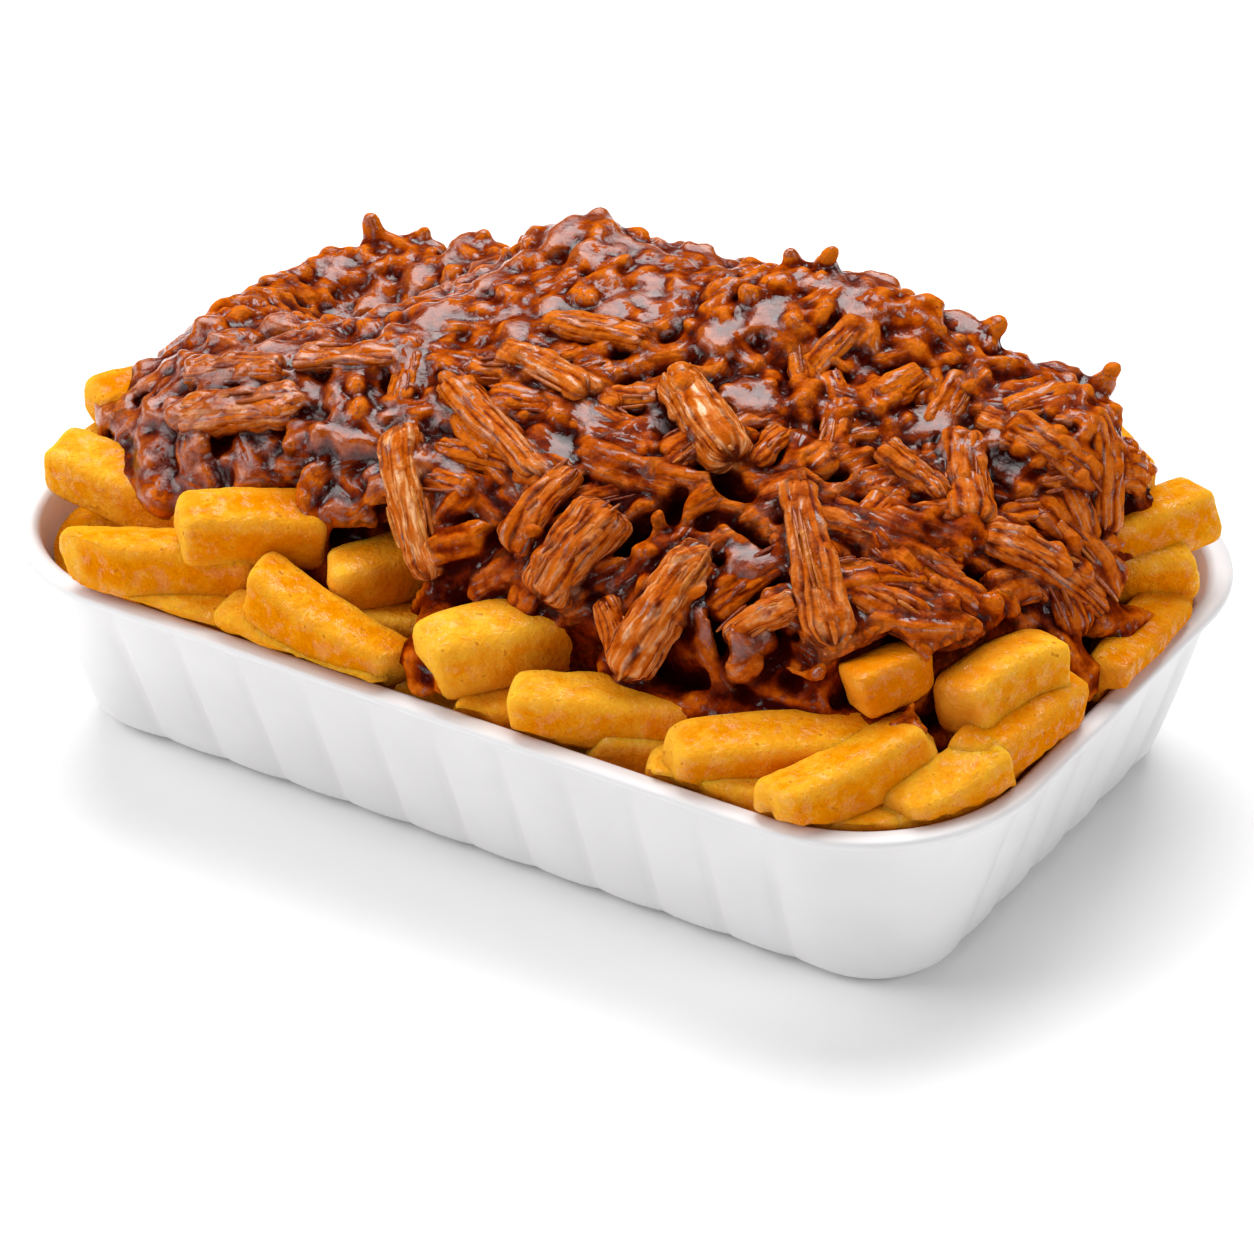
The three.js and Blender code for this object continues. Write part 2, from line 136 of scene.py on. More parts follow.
# %% [markdown]
# ## Floor and light
# A white floor and five large soft lamps in a dim white surround. The lamp behind and above is what the
# pools of sauce mirror towards the camera, so it is the strongest. The one at the left shapes the fries
# and throws the tray's soft shadow to the right. A low card of light at the left front brightens the meat
# that faces it. The front and right ones fill the tray's long wall and its right end. The surround is dim,
# or it would veil the dark sauce with grey from every side.

# %% Floor and light
SURROUND = 0.08
LAMP_DISTANCE = 2.5
FLOOR_HALF = 4000
LAMPS = [
    # name, the way to it from the dish, size in metres, brightness
    ("overhead", (-0.25, 0.46, 0.88), 2.2, 5.0),
    ("left", (-0.76, -0.50, 0.80), 1.7, 3.4),
    ("front", (0.15, -1.0, 0.45), 1.6, 1.2),
    ("card", (-0.75, -0.60, 0.35), 1.6, 0.9),
    ("right", (1.0, 0.05, 0.50), 1.5, 2.6),
]

world = bpy.data.worlds.new("surround")
world.use_nodes = True
background = world.node_tree.nodes["Background"]
background.inputs["Color"].default_value = (1.0, 1.0, 1.0, 1.0)
background.inputs["Strength"].default_value = SURROUND
bpy.context.scene.world = world

for name, way, size, brightness in LAMPS:
    lamp_data = bpy.data.lights.new(name, "AREA")
    lamp_data.shape = "SQUARE"
    lamp_data.size = size
    lamp_data.energy = brightness * math.pi * size**2
    lamp = bpy.data.objects.new(name, lamp_data)
    lamp.location = Vector(way).normalized() * LAMP_DISTANCE
    lamp.rotation_euler = Vector(way).to_track_quat("Z", "Y").to_euler()
    bpy.context.scene.collection.objects.link(lamp)

corners = [(x * FLOOR_HALF, y * FLOOR_HALF, 0) for x, y in ((-1, -1), (1, -1), (1, 1), (-1, 1))]
floor = make_mesh("floor", corners, [(0, 1, 2, 3)])
floor_paint = bpy.data.materials.new("floor_paint")
floor_paint.use_nodes = True
floor_shader = floor_paint.node_tree.nodes["Principled BSDF"]
floor_shader.inputs["Base Color"].default_value = (0.98, 0.98, 0.98, 1.0)
floor_shader.inputs["Roughness"].default_value = 0.9
floor.data.materials.append(floor_paint)
bpy.context.scene.view_settings.view_transform = "Standard"
print("lamps:", len(LAMPS))

# %% [markdown]
# ## Materials from nodes
# Every material here is a Principled shader with a few nodes in front of it. Short helpers keep the node
# trees readable: each adds one node and hands on the socket that its result comes out of.

# %% Material helpers
def new_material(name):
    """A material, its node tree, and its shader."""
    material = bpy.data.materials.new(name)
    material.use_nodes = True
    return material, material.node_tree, material.node_tree.nodes["Principled BSDF"]


def set_inputs(tree, node, **inputs):
    """Sets a node's inputs, by name or by _number: to a value, or joined to a socket."""
    for key, value in inputs.items():
        socket = node.inputs[int(key[1:])] if key.startswith("_") else node.inputs[key.replace("_", " ")]
        if isinstance(value, bpy.types.NodeSocket):
            tree.links.new(value, socket)
        else:
            socket.default_value = value


def add_node(tree, kind, settings=None, **inputs):
    """A node of a kind, with its settings and its inputs."""
    node = tree.nodes.new(kind)
    for key, value in (settings or {}).items():
        setattr(node, key, value)
    set_inputs(tree, node, **inputs)
    return node


def ramp(tree, factor, stops):
    """A colour ramp: stops are pairs of a place from 0 to 1 and a colour or grey value."""
    node = add_node(tree, "ShaderNodeValToRGB", Fac=factor)
    while len(node.color_ramp.elements) < len(stops):
        node.color_ramp.elements.new(0.5)
    for element, (place, colour) in zip(node.color_ramp.elements, stops):
        element.position = place
        element.color = (*colour, 1.0) if isinstance(colour, tuple) else (colour, colour, colour, 1.0)
    return node.outputs["Color"]


def noise(tree, where, scale, detail, roughness=0.55, distortion=0.0):
    """Cloudy values: the scale is in bumps to the millimetre, the detail in finer layers of them."""
    node = add_node(tree, "ShaderNodeTexNoise", Vector=where, Scale=scale, Detail=detail)
    set_inputs(tree, node, Roughness=roughness, Distortion=distortion)
    return node.outputs["Fac"]


def times(tree, a, b):
    """The product of two sockets, or of a socket and a number."""
    return add_node(tree, "ShaderNodeMath", {"operation": "MULTIPLY"}, _0=a, _1=b).outputs[0]


def plus(tree, a, b):
    """The sum of two sockets, or of a socket and a number."""
    return add_node(tree, "ShaderNodeMath", {"operation": "ADD"}, _0=a, _1=b).outputs[0]


def scaled(tree, value, factor, added):
    """A value times a factor, with a fixed number added."""
    settings = {"operation": "MULTIPLY_ADD"}
    return add_node(tree, "ShaderNodeMath", settings, _0=value, _1=factor, _2=added).outputs[0]


def mixed(tree, factor, a, b, blend="MIX"):
    """One colour mixed into another by a factor; each is a socket or three numbers."""
    a, b = [(*value, 1.0) if isinstance(value, tuple) else value for value in (a, b)]
    settings = {"data_type": "RGBA", "blend_type": blend}
    return add_node(tree, "ShaderNodeMix", settings, Factor=factor, _6=a, _7=b).outputs[2]


def bumps(tree, height, strength, depth):
    """Relief in the shading only: from a height of 0 to one of 1 it rises a depth in metres."""
    node = add_node(tree, "ShaderNodeBump", Height=height, Strength=strength, Distance=depth)
    return node.outputs["Normal"]


def own_place(tree):
    """Where a point lies on the object, in millimetres, so that noise scales read as sizes."""
    place = tree.nodes.new("ShaderNodeTexCoord").outputs["Object"]
    settings = {"operation": "SCALE"}
    return add_node(tree, "ShaderNodeVectorMath", settings, _0=place, Scale=1000.0).outputs[0]


def read_value(tree, name):
    """The number that each point stores under a name."""
    return add_node(tree, "ShaderNodeAttribute", {"attribute_name": name}).outputs["Fac"]


# %% [markdown]
# ## The tray
# A moulded white tray, about 200 by 131 by 38.5 mm. Its wall leans out from base to rim and is fluted:
# upright panels that bulge a millimetre, with narrow grooves between them, and one smooth panel round each
# corner. A rolled lip stiffens the top. It could be a box with bevels and an array of grooves, but one
# section walked round one outline gives the lean, the flutes and the lip together, as the mould does. This
# repeats the part's sizes with more points.

# %% Tray sizes
TRAY_HEIGHT = 38.5
WALL = 2.0
BASE = np.array([85.25, 48.5, 14.0])
TOP = np.array([97.8, 63.3, 32.0])
LIP_OUT = 2.5
FLUTES = (5, 10)
RUN_AT_BASE = (31.0, 64.2)
RUN_AT_TOP = (31.2, 65.7)
POINTS_PER_FLUTE = 12
CORNER_POINTS = 26
FLUTES_END = TRAY_HEIGHT - 2
FLUTES_FADE = 1.5
FLUTE_FULLNESS = 0.6


def flute_bulge(z):
    """How far the flutes bulge at a height: most halfway up, and nothing under the lip."""
    if z > FLUTES_END:
        return 0.0
    fade = min((FLUTES_END - z) / FLUTES_FADE, 1.0)
    return fade * (0.25 + 0.75 * max(math.sin(math.pi * (z + 7) / 43), 0.0))


def tray_ring(z, outset):
    """One ring round the tray at a height: each side's flutes in a straight run, then a smooth corner."""
    share = z / TRAY_HEIGHT
    half_length, half_width, corner = mix(BASE, TOP, share) + outset
    bulge = flute_bulge(z)
    ring = []
    for side in range(4):
        long_side = side % 2
        reach, next_reach = (half_width, half_length) if long_side else (half_length, half_width)
        run = mix(RUN_AT_BASE[long_side], RUN_AT_TOP[long_side], share)
        next_run = mix(RUN_AT_BASE[1 - long_side], RUN_AT_TOP[1 - long_side], share)
        pitch = 2 * run / FLUTES[long_side]
        steps = np.arange(FLUTES[long_side] * POINTS_PER_FLUTE) / POINTS_PER_FLUTE
        out = reach + bulge * np.abs(np.sin(math.pi * steps)) ** FLUTE_FULLNESS
        along = steps * pitch - run
        stub = max(next_reach - corner - run, 0)
        arc = corner * math.pi / 2
        next_stub = max(reach - corner - next_run, 0)
        walked = np.arange(CORNER_POINTS) / CORNER_POINTS * (stub + arc + next_stub)
        from_end = np.minimum(walked, stub + arc + next_stub - walked)
        push = bulge * np.sin(np.minimum(from_end / pitch, 0.5) * math.pi) ** FLUTE_FULLNESS
        angle = np.clip((walked - stub) / corner, 0, math.pi / 2)
        corner_out = reach - corner + corner * np.cos(angle) - np.maximum(walked - stub - arc, 0)
        corner_along = run + np.minimum(walked, stub) + corner * np.sin(angle)
        out = np.concatenate([out, corner_out + push * np.cos(angle)])
        along = np.concatenate([along, corner_along + push * np.sin(angle)])
        cosine, sine = math.cos(side * math.pi / 2), math.sin(side * math.pi / 2)
        x, y = out * cosine - along * sine, out * sine + along * cosine
        ring.append(np.stack([x, y, np.full_like(out, z)], 1))
    return np.concatenate(ring)


# %% [markdown]
# The section goes from the foot's rounding up the outside, over the rolled lip and down the inside to the
# floor.

# %% Tray section and mesh
FOOT_RADIUS = 4.0
CREASE_RADIUS = 0.9
LIP_RADIUS = 1.1
BRIM_RADIUS = 1.3
FLOOR_RADIUS = 3.0


def arc_of(middle_out, middle_z, radius, from_degrees, to_degrees, steps):
    """Points of a section on an arc, as pairs of outset and height."""
    angles = np.radians(np.linspace(from_degrees, to_degrees, steps))
    return [(middle_out + radius * math.cos(a), middle_z + radius * math.sin(a)) for a in angles]


section = arc_of(-FOOT_RADIUS, FOOT_RADIUS, FOOT_RADIUS, -90, 0, 7)
section += [(0.0, z) for z in np.linspace(7, TRAY_HEIGHT - 3.5, 8)]
section += arc_of(CREASE_RADIUS, TRAY_HEIGHT - 3.3, CREASE_RADIUS, 180, 90, 4)
section += arc_of(LIP_OUT - LIP_RADIUS, TRAY_HEIGHT - 1.3, LIP_RADIUS, -80, 75, 9)
section += [(0.5, TRAY_HEIGHT)]
section += arc_of(-WALL + BRIM_RADIUS, TRAY_HEIGHT - BRIM_RADIUS, BRIM_RADIUS, 90, 180, 6)
section += [(-WALL, z) for z in np.linspace(TRAY_HEIGHT - 4, 8, 6)]
section += arc_of(-WALL - FLOOR_RADIUS, WALL + FLOOR_RADIUS, FLOOR_RADIUS, 0, -90, 6)
tray_rings = [tray_ring(z, outset) for outset, z in section]
around = len(tray_rings[0])
tray_points = np.concatenate([*tray_rings, [[0, 0, 0], [0, 0, WALL]]])
tray = make_mesh("moulded_tray", tray_points, ring_faces(len(section), around))
print("tray:", len(section), "rings of", around, "points")

# %% [markdown]
# The tray's plastic is white with a soft sheen. A faint cloudiness in its colour and a barely felt ripple
# in its surface keep it from looking computed.

# %% Tray plastic
plastic, tree, shader = new_material("white_moulded_plastic")
where = own_place(tree)
cloud = noise(tree, where, 0.05, 2.0)
colour = ramp(tree, cloud, [(0.3, (0.77, 0.76, 0.77)), (0.7, (0.82, 0.81, 0.82))])
gloss = ramp(tree, noise(tree, where, 0.2, 2.0), [(0.3, 0.32), (0.7, 0.42)])
ripple = bumps(tree, noise(tree, where, 0.35, 2.0), 0.06, 0.0005)
set_inputs(tree, shader, Base_Color=colour, Roughness=gloss, Normal=ripple)
tray.data.materials.append(plastic)
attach(tray, "root")
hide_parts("tray")

# %% [markdown]
# ## The heap's outline
# The pork covers a rounded oblong and falls from its crown to its edge. The same formula as in the part
# gives the height of the heap's outer skin anywhere in plan. Fries and shreds are set out against it.

# %% Heap outline
HEAP_HALF = (90.0, 50.0)
HEAP_MIDDLE_Y = 1.5
HEAP_SQUARENESS = 5.0
HEAP_TOP = 78.0
HEAP_EDGE = 48.0
HEAP_FALL = (1.8, 0.52)
INNER_BAND = 0.12
LUMP_SPREAD = 13.0
LUMPS = [
    (-84, 4, 5.5),
    (-64, 16, -17),
    (-44, 24, -3.5),
    (-22, 26, 7.5),
    (0, 26, 3),
    (22, 26, 9.5),
    (44, 28, 7),
    (66, 30, 2.5),
    (84, 30, 12.5),
]


def heap_share(x, y):
    """0 at the heap's middle and 1 at its edge."""
    along = np.abs(x / HEAP_HALF[0]) ** HEAP_SQUARENESS
    across = np.abs((y - HEAP_MIDDLE_Y) / HEAP_HALF[1]) ** HEAP_SQUARENESS
    return (along + across) ** (1 / HEAP_SQUARENESS)


def heap_height(x, y):
    """How high the heap's skin lies over a place in plan: its crown, and low lumps on it."""
    x, y = np.asarray(x, float), np.asarray(y, float)
    share = np.minimum(heap_share(x, y), 1)
    z = HEAP_EDGE + (HEAP_TOP - HEAP_EDGE) * (1 - share ** HEAP_FALL[0]) ** HEAP_FALL[1]
    inner = np.minimum((1 - share) / INNER_BAND, 1)
    for lump_x, lump_y, lift in LUMPS:
        z = z + lift * inner * np.exp(-((x - lump_x) ** 2 + (y - lump_y) ** 2) / (2 * LUMP_SPREAD**2))
    return z


def heap_normal(x, y):
    """The way the heap's skin faces at a place in plan."""
    step = 1.5
    slope_x = (heap_height(x + step, y) - heap_height(x - step, y)) / (2 * step)
    slope_y = (heap_height(x, y + step) - heap_height(x, y - step)) / (2 * step)
    normal = np.stack([-slope_x, -slope_y, np.ones_like(slope_x)], -1)
    return normal / np.linalg.norm(normal, axis=-1, keepdims=True)


print("heap height at the middle:", round(float(heap_height(0.0, 0.0)), 1), "mm")

# %% [markdown]
# ## The fries
# Thick-cut fries, mostly 10 to 10.5 mm across and 22 to 42 mm long. Each is a potato stick: a rounded bar
# with soft edges, a little bent, one end often thinner, its skin puffed and dimpled by the oil. They are
# all lofted from one formula, each with its own seed. The ones that show are placed one by one, the rest by
# the part's rule round two ovals.

# %% Fries, placed
SHOWN_FRIES = [
    # middle x, y, z, then turn and tilt in degrees, then length, width, height
    (-77.1, -16.1, 53.5, 45, 7, 40, 10.5, 10.5),
    (-70.4, -43.3, 47.1, -4, -3, 42, 10.5, 10.5),
    (-57.2, -57.7, 45, 27, 0, 34, 10.5, 10),
    (-22.5, -58.8, 43.5, -4, -13, 32, 10.5, 10),
    (-42.4, -50.2, 52.8, 35, -3, 26, 10.5, 10.5),
    (12.1, -45.7, 46.9, 49, 5, 40, 12.5, 12),
    (-25.8, -59.8, 37.9, -3, -4, 34, 10, 10),
    (-16.2, -36.6, 48.1, 57, 4, 34, 10, 10),
    (-42.6, -57.7, 37.1, 9, -3, 36, 10, 9.5),
    (34.1, -51.9, 42, 25, 0, 40, 10.5, 10),
    (63.7, -48.7, 42.9, 33, 2, 42, 10.5, 10),
    (75.2, -51.4, 43, 62, 11, 31, 10.5, 10),
    (87.8, -22, 50, 75, 0, 24, 10.5, 10),
    (74.1, -36.8, 54.0, 64, 5, 14, 8.4, 8.2),
    (89.2, -41.6, 40, 65, 14, 22, 10.5, 10),
    (92.1, -23.4, 43, 85, 0, 30, 10.5, 10),
    (84.8, 27, 52, 64, 0, 36, 10.5, 10),
    (82.8, 21.5, 47, 47, -4, 34, 10.5, 10),
    (94.5, 13.3, 39.6, 98, -3, 30, 10, 10),
    (63.9, 57.5, 47, -33, -4, 30, 10, 10),
    (86.9, -38.3, 36.1, 83, 5, 28, 10, 9.5),
    (82.8, -47.6, 35, 69, 0, 28, 10, 9.5),
    (18.6, -51.5, 36, 28, 0, 34, 10, 9.5),
    (58.1, -55.7, 36, 9, 0, 34, 10, 9.5),
    (45.9, -47.8, 36, 24, 0, 36, 10, 9.5),
    (-85, -24, 44, 80, 0, 34, 10.5, 10.5),
    (60, 50, 40, -20, 0, 34, 10.5, 10),
    (-20, -50, 38.5, 28, 0, 34, 10, 10),
    (-83, 45, 44, 50, 2, 32, 10.5, 10),
    (-78, 50, 37.5, 30, 0, 32, 10, 9.5),
]
BACK_FRIES = {"count": 14, "from": 25, "to": 212, "half_length": 87, "half_width": 53, "z": 41}
LOWER_FRIES = {"count": 8, "from": 20, "to": 220, "half_length": 84, "half_width": 52, "z": 36.5}


def part_random(seed):
    """The part's own random numbers, so that the fries laid by rule lie where its solids have them."""
    state = seed
    while True:
        state = (state * 1664525 + 1013904223) % 2**32
        yield state / 2**32


def lay_fries(rule, draws):
    """Fries laid round an oval by a rule, in rows like those above."""
    laid = []
    for i in range(rule["count"]):
        angle = math.radians(mix(rule["from"], rule["to"], i / (rule["count"] - 1)))
        x = rule["half_length"] * math.cos(angle)
        y = HEAP_MIDDLE_Y + rule["half_width"] * math.sin(angle)
        along = math.degrees(
            math.atan2(rule["half_width"] * math.cos(angle), -rule["half_length"] * math.sin(angle))
        )
        fry_turn = along + mix(-40, 40, next(draws))
        tilt = mix(-8, 8, next(draws))
        lift = mix(-1, 1.5, next(draws))
        sizes = (mix(32, 42, next(draws)), mix(10, 11.5, next(draws)), mix(9.5, 10.5, next(draws)))
        laid.append((x, y, rule["z"] + lift, fry_turn, tilt, *sizes))
    return laid


draws = part_random(21)
fry_list = SHOWN_FRIES + lay_fries(BACK_FRIES, draws) + lay_fries(LOWER_FRIES, draws)
print("fries:", len(fry_list))

# %% [markdown]
# A fry that reaches the tray's wall leans against it: any point that would lie past the wall is brought
# back to half a millimetre from it. Above the rim a fry may reach out to the lip.

# %% Fries against the wall
def keep_in_tray(points):
    """The points, with those past the tray's wall brought back inside it."""
    level = np.clip(points[..., 2], 0, TRAY_HEIGHT)[..., None]
    over_rim = np.clip((points[..., 2] - TRAY_HEIGHT - 0.6) / 1.5, 0, 1)
    sizes = mix(BASE, TOP, level / TRAY_HEIGHT) + mix(-WALL - 0.5, LIP_OUT - 0.6, over_rim)[..., None]
    corner = sizes[..., 2]
    core = sizes[..., :2] - corner[..., None]
    past = np.maximum(np.abs(points[..., :2]) - core, 0)
    far = np.hypot(past[..., 0], past[..., 1])
    back = np.minimum(corner / np.maximum(far, 1e-6), 1)[..., None]
    kept = points.copy()
    kept[..., :2] = np.sign(points[..., :2]) * (np.minimum(np.abs(points[..., :2]), core) + past * back)
    return kept


# %% [markdown]
# One fry is thirty rings of thirty points. Each ring is a rounded square that leans, swells and shrinks a
# little along the fry, and the outermost ones close to a blunt cut end. Then low waves dimple the skin.

# %% One fry
FRY_RINGS = 30
FRY_SIDES = 30
DIMPLES = ((8.0, 0.10), (5.5, 0.09), (4.0, 0.07), (3.0, 0.06), (2.3, 0.05), (1.8, 0.04))


def fry_axes(fry_turn, tilt):
    """A fry's three directions: along it, across it, and up from its top face."""
    a, b = math.radians(fry_turn), math.radians(tilt)
    along = np.array([math.cos(a) * math.cos(b), math.sin(a) * math.cos(b), math.sin(b)])
    across = np.array([-math.sin(a), math.cos(a), 0.0])
    return along, across, np.cross(along, across)


def dimples(points, draw):
    """Low bumps and dents a few millimetres wide, from waves that cross each other."""
    total = np.zeros(points.shape[:-1])
    for length, depth in DIMPLES:
        way = draw.normal(size=3)
        way *= 2 * math.pi / length / np.linalg.norm(way)
        total += depth * np.sin(points @ way + draw.uniform(0, 2 * math.pi))
    return total


def make_fry(fry, seed):
    """Points of a fry, and for each how near it is to a cut end and to a long edge."""
    x, y, z, fry_turn, tilt, length, width, height = fry
    draw = rng(seed)
    roll = math.radians(draw.uniform(-12, 12))
    taper = draw.uniform(0.86, 1.0)
    taper_side = draw.choice([-1, 1])
    bend = draw.uniform(-1.3, 1.3, 2)
    squareness = draw.uniform(5.5, 9.0)
    waves = draw.uniform(0, 2 * math.pi, (4, 3))
    share = 0.5 - 0.5 * np.cos(np.linspace(0.045, math.pi - 0.045, FRY_RINGS))
    reach = 2 * share - 1
    angle = np.linspace(0, 2 * math.pi, FRY_SIDES, endpoint=False)
    t, a = np.meshgrid(reach, angle, indexing="ij")
    radius = (np.abs(np.cos(a)) ** squareness + np.abs(np.sin(a)) ** squareness) ** (-1 / squareness)
    end = (1 - np.abs(t) ** 16) ** (1 / 3.8)
    thin = mix(1, taper, np.clip(t * taper_side, 0, 1) ** 1.6)
    size = end * thin
    puff = sum(
        0.10 / (k + 1) * np.sin((k + 1) * 1.7 * t * 2 + waves[k, 0] + (k % 2 + 1) * a) for k in range(4)
    )
    puff += 0.10 * np.sin(9 * t + waves[0, 1]) * np.sin(2 * a + waves[1, 1])
    side = radius * np.cos(a) * width / 2 * size + 0.5 * puff * np.cos(a)
    lift = radius * np.sin(a) * height / 2 * size + 0.5 * puff * np.sin(a)
    side, lift = side * math.cos(roll) - lift * math.sin(roll), side * math.sin(roll) + lift * math.cos(roll)
    side = side + bend[0] * (t**2 - 0.3)
    lift = lift + bend[1] * (t**2 - 0.3)
    slant = draw.uniform(-0.09, 0.09, 2)
    run = t * length / 2 * (1 + slant[0] * np.cos(a) + slant[1] * np.sin(a))
    along, across, up = fry_axes(fry_turn, tilt)
    points = np.array([x, y, z]) + run[..., None] * along + side[..., None] * across + lift[..., None] * up
    outward = side[..., None] * across + lift[..., None] * up
    outward = outward / np.maximum(np.linalg.norm(outward, axis=-1, keepdims=True), 1e-6)
    points = points + 0.65 * outward * dimples(points, draw)[..., None] * np.minimum(end * 1.5, 1)[..., None]
    points = keep_in_tray(points)
    rings = points.reshape(-1, 3)
    ends = keep_in_tray(np.array([points[0].mean(0) - along * 0.12, points[-1].mean(0) + along * 0.12]))
    near_end = np.append(np.clip((np.abs(t) - 0.86) / 0.12, 0, 1).ravel(), [1, 1])
    near_edge = np.append(np.clip((radius - 1.08) / 0.12, 0, 1).ravel(), [0, 0])
    return np.concatenate([rings, ends]), near_end, near_edge


# %% [markdown]
# The fries that nobody sees are packed under the rest. A plain bed stands for them, as in the part: it
# fills the tray to just under the rim and rises under the pork.

# %% Fries bed and mesh
BED_SIDES = 72
BED_TOP = 43
BED_TONE = 0.3
BED_LEVELS = [
    # height, how far in from the tray wall's outline
    (2.7, 5.6),
    (7.0, 2.7),
    (32.5, 2.7),
    (34.0, 8.0),
    (36.0, 22.0),
    (40.0, 34.0),
    (42.0, 48.0),
]


def bed_ring(z, inset):
    """One ring round the bed at a height."""
    half_length, half_width, corner = mix(BASE, TOP, z / TRAY_HEIGHT) - inset
    corner = max(corner, 2.0)
    angle = np.linspace(0, 2 * math.pi, BED_SIDES, endpoint=False)
    x = np.sign(np.cos(angle)) * (half_length - corner) + corner * np.cos(angle)
    y = np.sign(np.sin(angle)) * (half_width - corner) + corner * np.sin(angle)
    return np.stack([x, y, np.full_like(x, z)], 1)


def join(parts):
    """Points and faces of several pieces as one."""
    points = np.concatenate([part[0] for part in parts])
    starts = np.cumsum([0] + [len(part[0]) for part in parts[:-1]])
    faces = [list(np.array(face) + start) for part, start in zip(parts, starts) for face in part[1]]
    return points, faces


bed_rings = [bed_ring(z, inset) for z, inset in BED_LEVELS]
bed_points = np.concatenate([*bed_rings, [[0, 0, BED_LEVELS[0][0]], [0, 0, BED_TOP]]])
parts = [(bed_points, ring_faces(len(BED_LEVELS), BED_SIDES))]
bed_zeros = np.zeros(len(bed_points))
values = {"end": [bed_zeros], "edge": [bed_zeros], "tone": [bed_zeros + BED_TONE]}
one_fry_faces = ring_faces(FRY_RINGS, FRY_SIDES)
for number, fry in enumerate(fry_list):
    fry_points, near_end, near_edge = make_fry(fry, 100 + number)
    parts.append((fry_points, one_fry_faces))
    values["end"].append(near_end)
    values["edge"].append(near_edge)
    values["tone"].append(np.full(len(fry_points), rng(900 + number).uniform(0, 1)))
fry_points_all, fry_faces_all = join(parts)
fries = make_mesh("fries_pile", fry_points_all, fry_faces_all)
for name, columns in values.items():
    add_value(fries, name, np.concatenate(columns))
normals = np.empty(len(fry_points_all) * 3, np.float32)
fries.data.vertices.foreach_get("normal", normals)
faces_up = normals[2::3]
# Painted light: how far each face looks up is stored, so that the colour can make top faces paler.
add_value(fries, "up", np.clip(faces_up, 0, 1))
# Painted shade: faces low in the tray or facing down, where the fries shade each other, get a value that
# browns them; top faces get less.
sunk = 0.25 + 0.6 * np.clip((46 - fry_points_all[:, 2]) / 9, 0, 1) + 0.4 * np.clip(-faces_up, 0, 1)
add_value(fries, "sunk", np.clip(sunk, 0, 1) * np.clip(1.05 - faces_up, 0.1, 1))
print("fries:", len(fries.data.polygons), "faces")

# %% [markdown]
# Fried potato goes from orange brown to pale yellow in cloudy patches, each fry by its own tone. Faces that
# look up are painted a little paler, as painted light. Cut ends and long edges are paler. Faces that lie low
# or look down, in the dark between fries, are painted browner, as painted shade. A few specks are burnt, and
# the sauce's staining, with painted shade near the pork, comes last. The skin is blistered, and oil lies on
# it in patches, as a dull coat. Light goes a little way into potato, which softens its shadows.

# %% Fried potato
BUMP_DEPTH = 0.0008
SKIN_COLOURS = [(0.05, (0.64, 0.145, 0.0)), (0.42, (0.80, 0.262, 0.0)), (0.8, (0.95, 0.50, 0.035))]

potato, tree, shader = new_material("fried_potato")
where = own_place(tree)
mottle = noise(tree, where, 0.30, 4.0, 0.72)
level = scaled(tree, read_value(tree, "tone"), 0.22, 0.36)
level = plus(tree, scaled(tree, mottle, 1.0, -0.52), level)
# Painted light: faces that look up are made a little paler in the colour.
level = plus(tree, times(tree, read_value(tree, "up"), 0.08), level)
skin = ramp(tree, level, SKIN_COLOURS)
pale = mixed(tree, times(tree, read_value(tree, "end"), 0.7), skin, (0.95, 0.53, 0.05))
pale = mixed(tree, times(tree, read_value(tree, "edge"), 0.4), pale, (0.95, 0.52, 0.04))
specks = ramp(tree, noise(tree, where, 0.6, 1.0, 0.5), [(0.70, 0.0), (0.76, 0.6)])
specked_and_shaded = mixed(tree, specks, pale, (0.45, 0.09, 0.001))
# Painted shade: browner where the fries lie low or face down.
specked_and_shaded = mixed(tree, times(tree, read_value(tree, "sunk"), 0.75), specked_and_shaded, (0.58, 0.13, 0.0))
# Sauce staining and painted shade: browner where the pork is near.
stained = mixed(tree, read_value(tree, "stain"), specked_and_shaded, (0.62, 0.14, 0.0))
blisters = bumps(tree, noise(tree, where, 0.75, 2.0, 0.65), 0.65, BUMP_DEPTH)
oil = ramp(tree, noise(tree, where, 0.4, 3.0, 0.6), [(0.50, 0.0), (0.60, 0.6)])
set_inputs(tree, shader, Base_Color=stained, Normal=blisters, Coat_Normal=blisters, Coat_Weight=oil)
shader.inputs["Roughness"].default_value = 0.5
shader.inputs["Specular IOR Level"].default_value = 0.0
shader.inputs["Subsurface Weight"].default_value = 0.3
shader.inputs["Subsurface Radius"].default_value = (1.0, 0.45, 0.08)
shader.inputs["Subsurface Scale"].default_value = 0.003
shader.inputs["Coat Roughness"].default_value = 0.26
shader.inputs["Coat IOR"].default_value = 1.5
fries.data.materials.append(potato)
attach(fries, "root")
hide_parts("fries")

# %% [markdown]
# ## The pulled pork as a field of distances
# Pulled pork in sauce is not a pile of clean sticks: shreds, crumbs of meat and sauce run into each other,
# and the sauce draws up round each shred. A field of distances gives that: a grid of numbers over the
# heap, each the distance to the nearest meat, below zero inside. Shapes join softly when their distances
# are blended, and the surface where the number is zero becomes the mesh. Sculpting by hand could do it
# too, but could not be repeated or measured.

# %% Grid
STEP = 0.6
GRID_LOW = np.array([-96.0, -66.0, 33.0])
GRID_HIGH = np.array([96.0, 58.0, 94.0])
shape = tuple(int(n) for n in np.round((GRID_HIGH - GRID_LOW) / STEP) + 1)
grid = [(GRID_LOW[axis] + STEP * np.arange(shape[axis])).astype(np.float32) for axis in range(3)]
print("grid:", shape)


